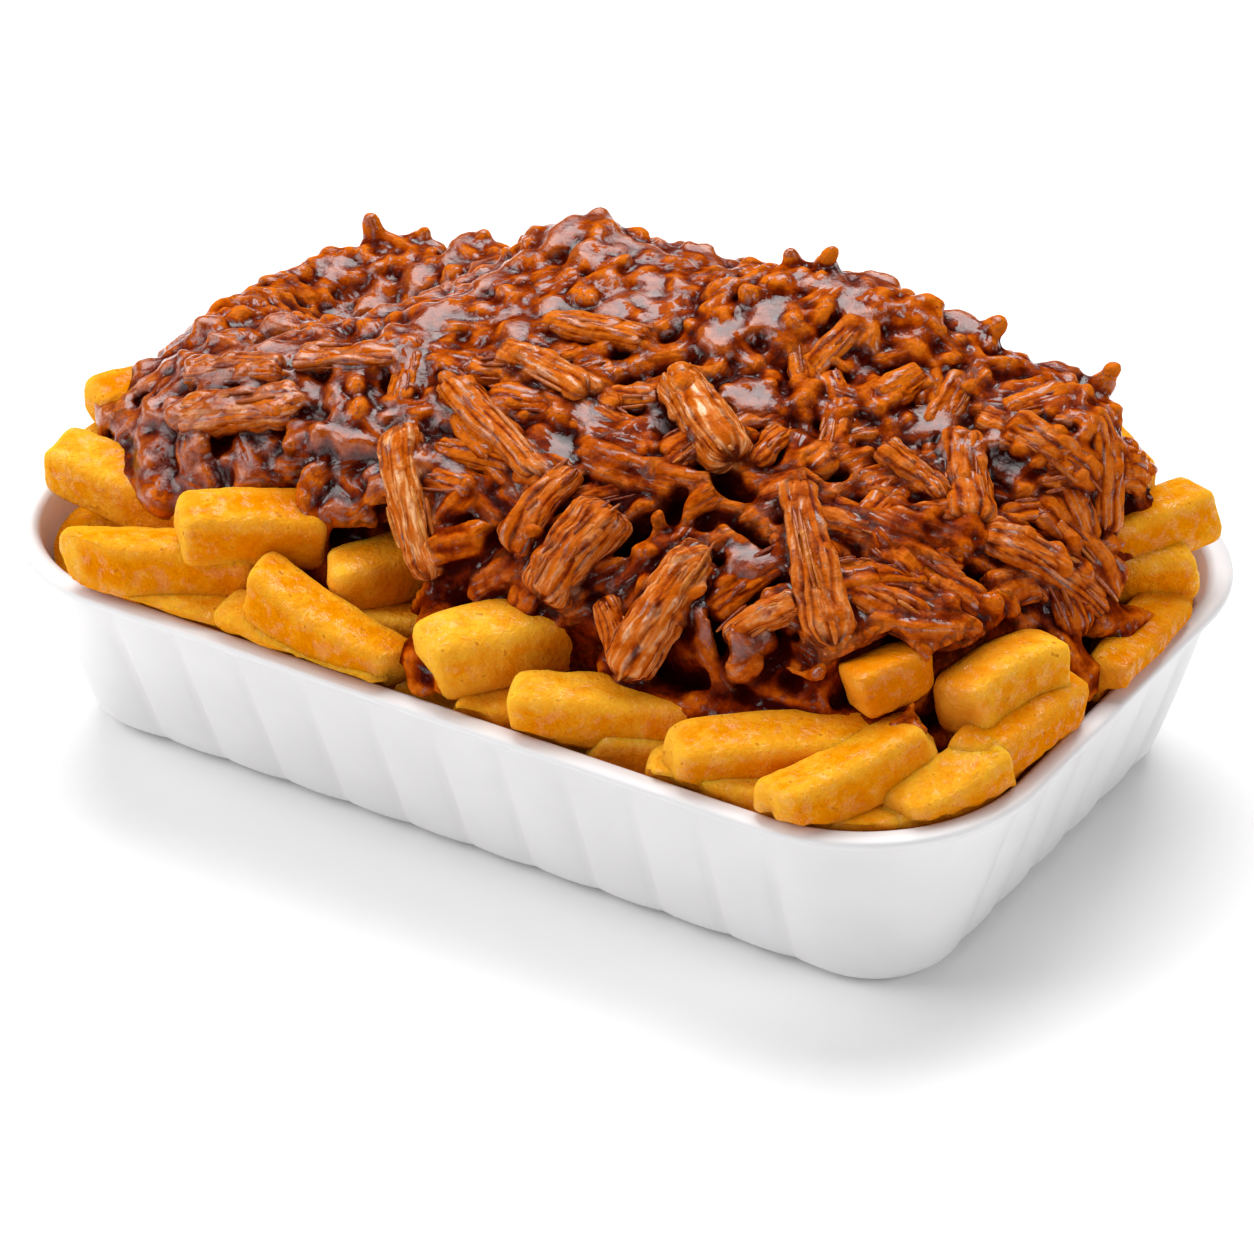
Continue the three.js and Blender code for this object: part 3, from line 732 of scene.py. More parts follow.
def region_round(middle, reach):
    """The slices of the grid that hold a box, and the places of their points from its middle."""
    slices = []
    for axis in range(3):
        first = int((middle[axis] - reach[axis] - GRID_LOW[axis]) / STEP)
        last = int((middle[axis] + reach[axis] - GRID_LOW[axis]) / STEP) + 2
        slices.append(slice(max(first, 0), max(min(last, shape[axis]), 1)))
    x, y, z = [grid[axis][slices[axis]] - np.float32(middle[axis]) for axis in range(3)]
    return tuple(slices), x[:, None, None], y[None, :, None], z[None, None, :]


def seen_along(axes, x, y, z):
    """Places given along the grid's directions, as places along a piece's own three."""
    return [x * axis[0] + y * axis[1] + z * axis[2] for axis in axes]


def grid_noise(seed, period):
    """Smooth random values from -1 to 1 over the grid, with bumps about one period wide."""
    cells = [int((n - 1) * STEP / period) + 3 for n in shape]
    values = rng(seed).uniform(-1, 1, cells).astype(np.float32)
    for axis in range(3):
        place = np.arange(shape[axis]) * STEP / period
        cell = place.astype(int)
        part = (place - cell).astype(np.float32)
        part = (part * part * (3 - 2 * part)).reshape([-1 if a == axis else 1 for a in range(3)])
        values = np.take(values, cell, axis) * (1 - part) + np.take(values, cell + 1, axis) * part
    return values


def sample(values, points):
    """A grid's values at places between its points."""
    place = np.clip((points - GRID_LOW) / STEP, 0, np.array(shape) - 1.001)
    cell = place.astype(int)
    part = place - cell
    total = np.zeros(len(points))
    for corner in np.ndindex(2, 2, 2):
        weight = np.prod(np.where(corner, part, 1 - part), axis=1)
        at = cell + corner
        total += weight * values[at[:, 0], at[:, 1], at[:, 2]]
    return total


def soft_least(a, b, softness):
    """The lesser of two distances, rounded where they meet, as sauce fills a corner."""
    near = np.maximum(softness - np.abs(a - b), 0) / softness
    return np.minimum(a, b) - near * near * softness * 0.25


# %% [markdown]
# The heap's core is meat packed under sauce. Its top lies a few millimetres below the heap's skin and
# rolls up and down, so that it shows as sauce between the shreds.

# %% Core and sauce level
SAUCE_DEPTH = (1.6, 2.6)
SAUCE_ROLL = 1.9
EDGE_SHARE = 0.965
UNDERSIDE = (44.0, 35.0)
STEEPEST = 2.0


def coarseness(x, y):
    """From 0 at the back and left, where the pork is broken down, to 1 at the front right."""
    return np.clip((x * 0.6 - y + 10) / 60, 0, 1)


def join_meat(cells, distance, softness):
    """Joins a shape to the meat in the field, with sauce drawn up where they meet."""
    field[cells] = soft_least(field[cells], distance.astype(np.float32), softness)


def sink(cells, distance, softness):
    """Takes a shape out of the meat in the field."""
    field[cells] = -soft_least(-field[cells], distance.astype(np.float32), softness)


plan_x, plan_y = np.meshgrid(grid[0], grid[1], indexing="ij")
skin = heap_height(plan_x, plan_y)
share = heap_share(plan_x, plan_y)
slope = np.hypot(*np.gradient(skin, STEP))
share_slope = np.hypot(*np.gradient(share, STEP))
steepness = (1 / np.sqrt(1 + np.minimum(slope, STEEPEST) ** 2)).astype(np.float32)
past_edge = ((share - EDGE_SHARE) / np.maximum(share_slope, 0.004)).astype(np.float32)
underside = mix(UNDERSIDE[0], UNDERSIDE[1], np.minimum(share, 1) ** 2).astype(np.float32)
roll = grid_noise(31, 11.0)
level = (skin - mix(*SAUCE_DEPTH, coarseness(plan_x, plan_y))).astype(np.float32)
field = (grid[2][None, None, :] - level[..., None]) * steepness[..., None] - SAUCE_ROLL * roll
field = np.maximum(field, past_edge[..., None] + 1.5 * roll)
print("core done")

# %% [markdown]
# Four fries lie on the heap's front edge with nothing on them. A room is kept free over each, drawn out
# from the fry towards the camera and up, as in the part. Pork that would reach into it is cut back.

# %% Fries kept clear
CLEAR_FRIES = {
    # number in the list, then the part of its length from -1 to 1 that stays clear
    4: (-1.2, 0.5),
    7: (-1.2, -0.1),
    12: (-1.2, 1.2),
    13: (-1.2, 0.6),
}
CLEAR_MARGIN = 0.8
CLEAR_STEPS = (0, 2.5, 5, 7.5, 10)
CLEAR_FAR = 9.0


def over_clear_fries(x, y, z):
    """Distance to the room kept free over these fries, at most a far one."""
    nearest = np.full(np.broadcast(x, y, z).shape, CLEAR_FAR, np.float32)
    way = np.array(toward_camera) * 0.7 + np.array([0, 0, 0.5])
    for number, (first, last) in CLEAR_FRIES.items():
        *middle, fry_turn, tilt, length, width, height = fry_list[number]
        axes = fry_axes(fry_turn, tilt)
        middle = np.array(middle) + axes[0] * (first + last) / 2 * length / 2
        half = np.array([(last - first) * length / 2, width, height]) / 2 + CLEAR_MARGIN
        for step in CLEAR_STEPS:
            offset = [place - at for place, at in zip((x, y, z), middle + way * step)]
            offs = [np.abs(along) - size for along, size in zip(seen_along(axes, *offset), half)]
            nearest = np.minimum(nearest, np.maximum(np.maximum(offs[0], offs[1]), offs[2]))
    return nearest


# %% [markdown]
# ## Shreds
# A shred is a bundle of meat fibres: a bent strip, thicker in the middle, lobed lengthwise, its ends torn
# at different lengths. The large ones that the photo shows are listed by their two ends in plan. Those
# with a bareness of their own also get a surface of their own later, so in the field they are kept a
# little small.

# %% Shreds that show
SHOWN_SHREDS = [
    # from x, y, to x, y, width
    (15, -7, 35, -20, 9.5),
    (-21, -22, 5, -33, 6.5),
    (-24, -32, -8, -48, 7),
    (39, -35, 33, -52, 9),
    (20, -34, 14, -47, 9.5),
    (45, -18, 66, -41, 7),
    (48, -45, 58, -37, 5.5),
    (73, -6, 90, 8, 8),
    (42, -25, 52, -2, 6.5),
    (52, -1, 66, -3, 6.5),
    (61, 11, 72, -5, 8),
    (-16, -12, 4, -16, 7),
    (-50, -25, -32, -20, 6.5),
    (-65, -39, -43, -33, 8),
    (56, -16, 74, -10, 9),
    (8, -27, 32, -27, 8),
    (-34, 20, -14, 26, 9),
    (10, -30, 6, -44, 6.5),
    (-50, -4, -30, 2, 6.5),
    (-14, -3, 6, 0, 6.5),
    (12, 7, 27, 3, 6),
    (33, 3, 48, 7, 7),
    (35, 28, 53, 26, 6.5),
    (66, 16, 83, 18, 8),
    (-69, -30, -50, -28, 7.5),
    (-41, -29, -24, -36, 6.5),
    (75, 12, 84, 32, 7.5),
    (25, -45, 36, -49, 6),
    (64, -20, 76, -14, 6.5),
    (-83, 8, -66, -1, 7),
]
# number in the list above, then how bare of sauce that shred lies
BARENESS = {0: 0.95, 1: 0.4, 2: 1.0, 3: 0.65, 4: 0.45, 5: 0.45, 6: 0.6, 7: 0.4, 9: 0.3, 10: 0.3, 11: 0.6}
BARENESS |= {12: 0.4, 13: 0.6, 17: 0.35, 19: 0.3, 23: 0.3, 24: 0.35, 26: 0.2, 27: 0.4}
BARENESS_OF_REST = 0.2
RINGS_AND_SIDES = (28, 60)
SHRED_DEPTH = 0.7
SHRED_LIFT = 0.12
MOST_SAG = 2.5
MOST_BEND = 0.08
shreds = []


def add_shred(start, end, lift, width, height, draw, bareness, lofted):
    """Sets out one shred between two places in plan, at a lift over the heap's skin."""
    start = np.array([*start, heap_height(*start)])
    end = np.array([*end, heap_height(*end)])
    middle = (start + end) / 2
    middle_skin = float(heap_height(middle[0], middle[1]))
    along = end - start
    half_length = np.linalg.norm(along) / 2
    along = along / (2 * half_length)
    across = np.cross(heap_normal(middle[0], middle[1]), along)
    across /= np.linalg.norm(across)
    up = np.cross(along, across)
    sag = np.clip(middle_skin - middle[2], -MOST_SAG, MOST_SAG)
    shreds.append(
        {
            "middle": middle + up * (sag * 0.67 + lift),
            "axes": (along, across, up),
            "half": (half_length, width / 2, height / 2),
            "bend": (draw.uniform(-1, 1) * MOST_BEND * half_length, -sag),
            "lobes": (draw.integers(5, 9), any_phase(draw), draw.uniform(-1.2, 1.2)),
            "torn": any_phase(draw, 2),
            "bareness": bareness,
            "lofted": lofted,
        }
    )


for number, (x0, y0, x1, y1, width) in enumerate(SHOWN_SHREDS):
    draw = rng(300 + number)
    lofted = RINGS_AND_SIDES if number in BARENESS else None
    lift = SHRED_LIFT * width if lofted else -SHRED_LIFT * width
    bareness = BARENESS.get(number, BARENESS_OF_REST)
    add_shred((x0, y0), (x1, y1), lift, width, SHRED_DEPTH * width, draw, bareness, lofted)
print("shreds that show:", len(shreds))

# %% [markdown]
# A bed of smaller shreds lies under and between them. They are laid out in a sunflower's pattern, which
# fills the oblong evenly, and each draws its own length, width, lift and way. The way sweeps over the heap
# in broad swirls, as forks leave it. The highest of the larger ones get a surface of their own too, unless
# they near a clear fry.

# %% Shreds between
BETWEEN = 520
SEED_ANGLE = math.pi * (3 - math.sqrt(5))
SMALL_RINGS_AND_SIDES = (18, 36)
# how far out in the heap the middle and the ends of a shred may lie, then what a lofted one exceeds
FURTHEST = (0.99, 1.02)
LOFTED_FROM = {"lift": -1.5, "half_length": 5.5, "coarse": 0.25, "room": 1.5}
for number in range(BETWEEN):
    draw = rng(5000 + number)
    reach = FURTHEST[0] * math.sqrt((number + 0.5) / BETWEEN)
    cosine, sine = math.cos(number * SEED_ANGLE), math.sin(number * SEED_ANGLE)
    norm = (abs(cosine) ** HEAP_SQUARENESS + abs(sine) ** HEAP_SQUARENESS) ** (1 / HEAP_SQUARENESS)
    x = reach * HEAP_HALF[0] * cosine / norm
    y = HEAP_MIDDLE_Y + reach * HEAP_HALF[1] * sine / norm
    swirl = math.radians(15) + 0.9 * math.sin(x / 31 + 1) + 0.7 * math.sin(y / 17 + x / 40)
    lie = swirl + draw.uniform(-0.9, 0.9)
    coarse = coarseness(x, y)
    half_length = draw.uniform(3.0, 5.5) + coarse * draw.uniform(0, 5)
    width = draw.uniform(3.4, 6.0) + coarse * draw.uniform(0.3, 2.3)
    span = np.array([math.cos(lie), math.sin(lie)]) * half_length
    start, end = (x - span[0], y - span[1]), (x + span[0], y + span[1])
    if max(heap_share(*start), heap_share(*end)) > FURTHEST[1]:
        continue
    lift = draw.uniform(-2.6, -0.3)
    room = min(over_clear_fries(px, py, float(heap_height(px, py))) for px, py in (start, (x, y), end))
    measures = {"lift": lift, "half_length": half_length, "coarse": coarse, "room": room}
    large = all(measures[name] > least for name, least in LOFTED_FROM.items())
    lofted = SMALL_RINGS_AND_SIDES if large else None
    height = width * draw.uniform(0.55, 0.85)
    add_shred(start, end, lift, width, height, draw, draw.uniform(0, 0.3), lofted)
print("shreds:", len(shreds))


# %% [markdown]
# In the field a shred is a stretched ball with a blunt end, bent, lobed and torn by a few waves. How
# softly it joins the others goes by place: at the back the meat flows together, at the front right it
# stays distinct.

# %% Shreds into the field
def shred_distance(shred, x, y, z):
    """Distance to a shred from places given from its middle, and how far along and across it they lie."""
    half_length, half_width, half_height = shred["half"]
    along, across, up = seen_along(shred["axes"], x, y, z)
    t = along / half_length
    bow = t * t - 0.33
    across = across - shred["bend"][0] * bow
    up = up - shred["bend"][1] * bow
    angle = np.arctan2(up / half_height, across / half_width)
    count, phase, twist = shred["lobes"]
    lobed = 1 + 0.11 * np.sin(count * angle + phase + twist * t) + 0.10 * np.sin(3.1 * t + 2 * phase)
    torn = 1 + 0.10 * np.sin(2 * angle + shred["torn"][0]) + 0.09 * np.sin(5 * angle + shred["torn"][1])
    round_share = ((across / half_width) ** 2 + (up / half_height) ** 2) / lobed**2
    end_share = np.minimum(np.abs(t) / torn, 3) ** 8
    return (np.sqrt(round_share + end_share) - 1) * half_height, t, across


def shred_reach(shred, margin):
    """Half the size of an upright box that holds a shred and a margin."""
    return sum(np.abs(axis) * size for axis, size in zip(shred["axes"], shred["half"])) * 1.15 + margin


BLEND = (1.6, 0.7)
BLEND_LOFTED = 1.2
LOFTED_ROOM = 0.4
for shred in shreds:
    cells, x, y, z = region_round(shred["middle"], shred_reach(shred, 2.5))
    distance, _, _ = shred_distance(shred, x, y, z)
    if shred["lofted"]:
        join_meat(cells, distance + LOFTED_ROOM, BLEND_LOFTED)
    else:
        join_meat(cells, distance, mix(*BLEND, coarseness(*shred["middle"][:2])))
print("shreds in the field")

# %% [markdown]
# ## Crumbs of meat
# Between the shreds, and most of all at the back and left, the pork has broken down to crumbs a few
# millimetres across. They sit half sunk in the sauce. A map of the heap's present top tells each crumb how
# high it lies.

# %% Crumbs into the field
CRUMBS = 4200
CRUMB_BLEND = 1.1
LOWEST_TOP = 40


def top_map():
    """For each column of the grid, the height of the highest meat in it, or 0."""
    inside = field < 0
    highest = shape[2] - 1 - np.argmax(inside[:, :, ::-1], axis=2)
    return np.where(inside.any(axis=2), grid[2][highest], 0)


def column_at(x, y):
    """The column of the grid that holds a place in plan."""
    return int((x - GRID_LOW[0]) / STEP), int((y - GRID_LOW[1]) / STEP)


tops = top_map()
draw = rng(77)
crumb_count = 0
for _ in range(CRUMBS):
    x, y = draw.uniform(-92, 92), draw.uniform(-50, 53)
    top = tops[column_at(x, y)]
    size = draw.uniform(0.6, 1.3) * (1 + 0.7 * draw.uniform(0, 1) ** 3)
    stretch = draw.uniform(1.0, 1.9)
    sink_share, turned, tipped, kept = draw.uniform(-0.7, 0.35), *draw.uniform(-1, 1, 2), draw.uniform(0, 1)
    finer = np.clip((y - 0.35 * x + 40) / 60, 0.2, 1)
    if heap_share(x, y) > 0.99 or top < LOWEST_TOP or kept > finer:
        continue
    cells, dx, dy, dz = region_round((x, y, top + sink_share * size), np.full(3, size * stretch + 1.8))
    run, side, lift = seen_along(fry_axes(turned * 180, tipped * 35), dx, dy, dz)
    join_meat(cells, np.sqrt((run / stretch) ** 2 + side**2 + (lift * 1.2) ** 2) - size, CRUMB_BLEND)
    crumb_count += 1
print("crumbs:", crumb_count)

# %% [markdown]
# Here and there the heap has a deep gap between shreds, where no light reaches. Each gap is an upright
# hollow, sunk from the present top. A few more go straight into the heap's front wall, just over the
# fries.

# %% Gaps into the field
SHOWN_GAPS = [
    # x, y, half its width, length over width, way it runs, depth
    (33.3, -15, 2.2, 1.6, -30, 5),
    (48.3, -11.5, 2.4, 1.8, 20, 5),
    (77.1, 6, 2.2, 2.2, 30, 5),
    (25.4, -35.6, 2.6, 2.0, 60, 6),
    (36, -23, 2.4, 2.0, -20, 5),
    (56.8, -13.5, 2.0, 1.8, 10, 4),
    (81.3, 17.5, 2.0, 2.0, 40, 5),
    (78, -12, 1.8, 3.0, 30, 5),
    (58.7, 0.5, 1.8, 2.4, -10, 5),
    (-12.6, -20.8, 2.2, 1.8, -30, 5),
    (-7, -31.6, 2.2, 2.0, -40, 5),
    (-61.6, -13.6, 1.8, 2.0, 30, 5),
]
WALL_GAPS = [
    # x, y, z, half its width, length over width, way it runs
    (-26, -44, 52, 3.4, 2.0, 15),
    (12, -47.5, 50.5, 2.8, 1.8, 0),
    (61, -46, 52, 2.4, 2.0, 10),
    (-62, -45, 52, 1.6, 2.0, 10),
]
GAPS = 120
GAP_BLEND = 1.2
WALL_GAP_BLEND = 1.0
ROUGHNESS = 0.6
rough_edge = grid_noise(64, 2.4)


def gap_edge(run, side, lift, wide, cells):
    """Distance to a gap's hollow from places round it, with an uneven edge."""
    return np.sqrt(run**2 + side**2 + lift**2) - wide + ROUGHNESS * rough_edge[cells]


draw = rng(88)
gap_rows = list(SHOWN_GAPS)
for _ in range(GAPS):
    x, y = draw.uniform(-80, 84), mix(-50, 40, draw.uniform() ** 2)
    row = (x, y, draw.uniform(1.0, 2.0), draw.uniform(1.5, 3.5), draw.uniform(0, 180), draw.uniform(3, 5))
    if draw.uniform() < coarseness(x, y) * 0.7 - 0.15:
        gap_rows.append(row)
for x, y, wide, stretch, turned, deep in gap_rows:
    top = tops[column_at(x, y)]
    if heap_share(x, y) > 0.985 or top > heap_height(x, y) + 1.5:
        continue
    reach = wide * stretch + 2
    cells, dx, dy, dz = region_round((x, y, top), (reach, reach, deep + 3))
    run, side, lift = seen_along(fry_axes(turned, 0), dx, dy, dz)
    sink(cells, gap_edge(run / stretch, side, lift * wide / deep, wide, cells), GAP_BLEND)
for x, y, z, wide, stretch, turned in WALL_GAPS:
    cells, dx, dy, dz = region_round((x, y, z), np.full(3, wide * stretch + 2))
    run, side, lift = seen_along(fry_axes(turned, 0), dx, dy, dz)
    sink(cells, gap_edge(run / stretch, 0.6 * side, lift, wide, cells), WALL_GAP_BLEND)
print("gaps sunk:", len(gap_rows) + len(WALL_GAPS))

# %% [markdown]
# ## Tufts
# A few shreds stand up from the heap's far edge against the light. They make the nubs and short spikes of
# its outline. Each is a tapering stub built of knobs.

# %% Tufts into the field
TUFTS = [
    # x, y, lean in x and y, rise, width
    (-77, 41, -2, -1, 9, 5),
    (-72, 43, 3, 1, 6, 5),
    (-59, 44, 3, 0, 6, 5),
    (19, 26, -1, 1, 5, 4.5),
    (24, 28, 1, 0, 7, 4.5),
    (49, 33, 6, 3, 5, 5),
    (69, 38, 6, 2, 9, 5),
]
TUFT_KNOBS = 8
TUFT_ROOT = 4
TUFT_BLEND = 1.4
draw = rng(99)
for x, y, lean_x, lean_y, rise_mm, width in TUFTS:
    foot = np.array([x, y, float(heap_height(x, y)) - TUFT_ROOT])
    tip = foot + np.array([lean_x, lean_y, 0.66 * rise_mm + TUFT_ROOT])
    for share_up in np.linspace(0, 1, TUFT_KNOBS):
        radius = mix(width * 0.9, width * 0.2, share_up**0.6)
        middle = mix(foot, tip, share_up) + draw.uniform(-0.9, 0.9, 3)
        cells, dx, dy, dz = region_round(middle, np.full(3, radius + 2))
        join_meat(cells, np.sqrt(dx**2 + dy**2 + dz**2) - radius * draw.uniform(0.8, 1.1), TUFT_BLEND)

# %% [markdown]
# At the front the sauce has run down over the fries: one run between two fries to the rim, two at the
# right end, and broad tongues between the others.

# %% Runs of sauce into the field
RUNS = [
    # from x, y, z, to x, y, z, then width
    (-6, -46, 47, -3, -57, 43.5, 8),
    (-3, -57, 43.5, -1.5, -60.5, 40, 5),
    (88, -6, 48, 94, -4, 42, 8),
    (28, -47, 46, 40, -50, 45, 6),
    (46, -49, 46, 57, -46.5, 45.5, 6),
    (90, 6, 47, 93, 14, 44, 7),
    (-60, -40, 48, -52, -44, 46.5, 7),
    (-71, -36, 54, -67, -44, 49.5, 9),
    (-68, -40, 55, -63, -47, 51, 9),
]
RUN_BLEND = 2.5
RUN_FLATNESS = 1.4
for x0, y0, z0, x1, y1, z1, width in RUNS:
    start, end = np.array([x0, y0, z0], float), np.array([x1, y1, z1], float)
    axis = end - start
    cells, dx, dy, dz = region_round((start + end) / 2, np.abs(axis) / 2 + width)
    share_run = np.clip((dx * axis[0] + dy * axis[1] + dz * axis[2]) / (axis @ axis) + 0.5, 0, 1)
    off = [d - axis[k] * (share_run - 0.5) for k, d in enumerate((dx, dy, dz))]
    distance = np.sqrt(off[0] ** 2 + off[1] ** 2 + (RUN_FLATNESS * off[2]) ** 2) - width / 2
    join_meat(cells, distance, RUN_BLEND)

# %% [markdown]
# ## Where pork meets fries
# Sauce creeps a little way over a fry that touches the heap. The fries' own distance is blended in softly
# for that, but only near the pork, so the fries that stand clear of the heap stay bare. The fries that the
# pork nearly touches are painted browner near it, and three of them all over: partly the sauce's staining
# and partly painted shade, where the heap shades them. Last, the room over the clear fries is taken out.

# %% Fries into the field
FRY_FAR = 6.0
FRY_ROUNDING = 2.5
SAUCE_GAP = 0.7
CREEP_BLEND = 2.4
MOST_CREEP = 3.0
STAIN_REACH = 6
MOST_STAIN = 0.65
SAUCED_FRIES = (15, 18, 19)
SAUCED_STAIN = 0.35
CUT_BLEND = 1.5
fry_field = np.full(shape, FRY_FAR, np.float32)
for x, y, z, fry_turn, tilt, length, width, height in fry_list:
    axes = fry_axes(fry_turn, tilt)
    half = np.array([length, width, height]) / 2 - FRY_ROUNDING
    reach = sum(np.abs(axis) * (size + FRY_ROUNDING) for axis, size in zip(axes, half)) + 1.5
    cells, dx, dy, dz = region_round((x, y, z), reach)
    if fry_field[cells].size == 0:
        continue
    offs = [np.abs(along) - size for along, size in zip(seen_along(axes, dx, dy, dz), half)]
    outside = np.sqrt(sum(np.maximum(off, 0) ** 2 for off in offs))
    inside = np.minimum(np.maximum(np.maximum(offs[0], offs[1]), offs[2]), 0)
    distance = (outside + inside - FRY_ROUNDING).astype(np.float32)
    fry_field[cells] = np.minimum(fry_field[cells], distance)

# Browner near the pork: partly sauce staining, partly painted shade from the heap.
stain_distance = np.minimum(sample(field, fry_points_all), 9)
stain = MOST_STAIN * np.clip(1 - stain_distance / STAIN_REACH, 0, 1) ** 2
per_fry = FRY_RINGS * FRY_SIDES + 2
for number in SAUCED_FRIES:
    first = len(bed_points) + number * per_fry
    stain[first : first + per_fry] = np.maximum(stain[first : first + per_fry], SAUCED_STAIN)
add_value(fries, "stain", stain)

joined = soft_least(field, fry_field + SAUCE_GAP, CREEP_BLEND)
field = np.where(fry_field < FRY_FAR, np.maximum(joined, field - MOST_CREEP), field)
clear = over_clear_fries(grid[0][:, None, None], grid[1][None, :, None], grid[2][None, None, :])
field = -soft_least(-field, clear, CUT_BLEND)
print("fries met")

# %% [markdown]
# ## Fine relief
# Two sizes of noise roughen the meat, the finer one more in some places than in others.

# %% Relief
COARSE_RELIEF = 0.5
FINE_RELIEF = 0.28
roughened = np.clip(0.5 + 0.9 * grid_noise(53, 7.0), 0.15, 1)
field += COARSE_RELIEF * grid_noise(51, 4.0) + FINE_RELIEF * roughened * grid_noise(52, 1.8)

# %% [markdown]
# ## Pools
# Sauce settles almost level in the heap's shallow places, and these small pools are what mirrors the light
# as flat pale patches. Each fills the heap up to one height inside an uneven outline, and what stands
# higher stays as an island in it. They come after the relief, because a pool is smooth.

# %% Pools into the field
SHOWN_POOLS = [
    # x, y, half its width, length over width, way it runs
    (-70, -34, 4.6, 1.7, 60),
    (-64.5, -25, 4.2, 1.7, 20),
    (-69, -43, 3.2, 1.5, -30),
    (-31, -36.5, 4.2, 1.9, 20),
    (-22.5, -30.5, 2.4, 2.2, 10),
    (-22, -40, 2.6, 1.8, 40),
    (-41, -30, 3.0, 1.8, 10),
    (-54, -37, 3.4, 1.8, 10),
    (-48, -43, 3.0, 1.6, 0),
    (47.5, -33, 3.4, 1.6, 40),
    (50, -45, 3.4, 2.2, 20),
    (42, -44, 3.0, 2.4, 40),
    (-60, 4, 3.6, 2.0, 10),
    (-34, -14, 3.6, 2.0, 20),
]
POOLS = 120
POOL_TILT = (-0.13, 0.10)
POOL_EDGE_BLEND = 1.4
OUTSIDE = 3.0
draw = rng(61)
tops = top_map()
ragged = grid_noise(62, 2.6)[:, :, 0] + 0.5 * grid_noise(63, 1.4)[:, :, 0]
pool_field = np.full(shape, OUTSIDE, np.float32)
pool_rows = list(SHOWN_POOLS)
for _ in range(POOLS):
    x, y = draw.uniform(-88, 86), draw.uniform(-50, 46)
    row = (x, y, draw.uniform(2.2, 4.6), draw.uniform(1, 2.2), draw.uniform(0, 180))
    if heap_share(x, y) < 0.93 and draw.uniform() < 1.0 - 1.1 * coarseness(x, y):
        pool_rows.append(row)
for x, y, wide, stretch, turned in pool_rows:
    i, j = column_at(x, y)
    around_tops = tops[i - 4 : i + 5, j - 4 : j + 5]
    pool_level = np.percentile(around_tops[around_tops > LOWEST_TOP], 55)
    reach = wide * stretch + 2
    cells, dx, dy, dz = region_round((x, y, pool_level - 1), (reach, reach, 4))
    run, side, _ = seen_along(fry_axes(turned, 0), dx, dy, 0 * dz)
    uneven = ragged[cells[0], cells[1], None]
    outline = np.sqrt((run / stretch) ** 2 + side**2) - wide + 1.1 * uneven
    outline = outline + np.clip(pool_level - 2.4 - tops[cells[0], cells[1], None], 0, 9)
    over = dz - (dx * POOL_TILT[0] + dy * POOL_TILT[1]) - 1.0 + 0.3 * uneven
    puddle = np.maximum(-soft_least(-over, -0.7 * outline, POOL_EDGE_BLEND), -3 - dz).astype(np.float32)
    pool_field[cells] = np.minimum(pool_field[cells], puddle)
field = soft_least(field, pool_field, 1.0)
print("pools:", len(pool_rows))

# %% [markdown]
# The underside is cut off level where it rests on the fries. One pass of smoothing takes the grid's own
# steps away, and then the zero surface is drawn out as a mesh. Only its largest body is kept.

# %% Surface
MASS_TRIANGLES = 192000
field = np.maximum(field, underside[..., None] - grid[2][None, None, :])
for axis in range(3):
    smooth = field.copy()
    body = [slice(None)] * 3
    before = [slice(None)] * 3
    after = [slice(None)] * 3
    body[axis], before[axis], after[axis] = slice(1, -1), slice(0, -2), slice(2, None)
    smooth[tuple(body)] = 0.5 * field[tuple(body)] + 0.25 * field[tuple(before)] + 0.25 * field[tuple(after)]
    field = smooth
field[[0, -1]] = OUTSIDE
field[:, [0, -1]] = OUTSIDE
field[:, :, [0, -1]] = OUTSIDE

volume = openvdb.FloatGrid(background=OUTSIDE)
volume.copyFromArray(field, tolerance=0)
mass_points, mass_quads = volume.convertToQuads(isovalue=0)
mass_points = mass_points * STEP + GRID_LOW
mass_quads = mass_quads[:, ::-1]
print("surface:", len(mass_points), "points", len(mass_quads), "quads")


def keep_largest(points, quads):
    """Only the largest connected body of a mesh, so that no loose scrap is left."""
    label = np.arange(len(points))
    while True:
        least = label[quads].min(1)
        new = label.copy()
        np.minimum.at(new, quads.ravel(), np.repeat(least, 4))
        new = new[new]
        if np.array_equal(new, label):
            break
        label = new
    largest = np.bincount(label).argmax()
    kept_quads = quads[label[quads[:, 0]] == largest]
    used = np.unique(kept_quads)
    renumber = np.zeros(len(points), int)
    renumber[used] = np.arange(len(used))
    return points[used], renumber[kept_quads]


mass_points, mass_quads = keep_largest(mass_points, mass_quads)
pork = make_mesh("pork_mass", mass_points, mass_quads)
fewer = pork.modifiers.new("fewer", "DECIMATE")
fewer.ratio = MASS_TRIANGLES / (2 * len(mass_quads))
keep_result(pork)
mass_points = np.empty(len(pork.data.vertices) * 3)
pork.data.vertices.foreach_get("co", mass_points)
mass_points = mass_points.reshape(-1, 3) / MM
print("pork mass:", len(pork.data.polygons), "triangles")

# %% [markdown]
# ## What the material needs to know
# Ridges of pulled pork are bright where the sauce runs off them, and hollows are nearly black where it
# gathers. The colour paints this, and the shade that falls in the hollows with it: painted light on what
# stands free, painted shade in what is closed in. Each point stores how closed in it is, measured as the
# share of meat in a small box round it, and a second one for a larger box. It stores how readily a film of
# sauce lies there, and whether it is in a pool.

# %% Hollows
SMALL_BOX = 1.6
LARGE_BOX = 4.5


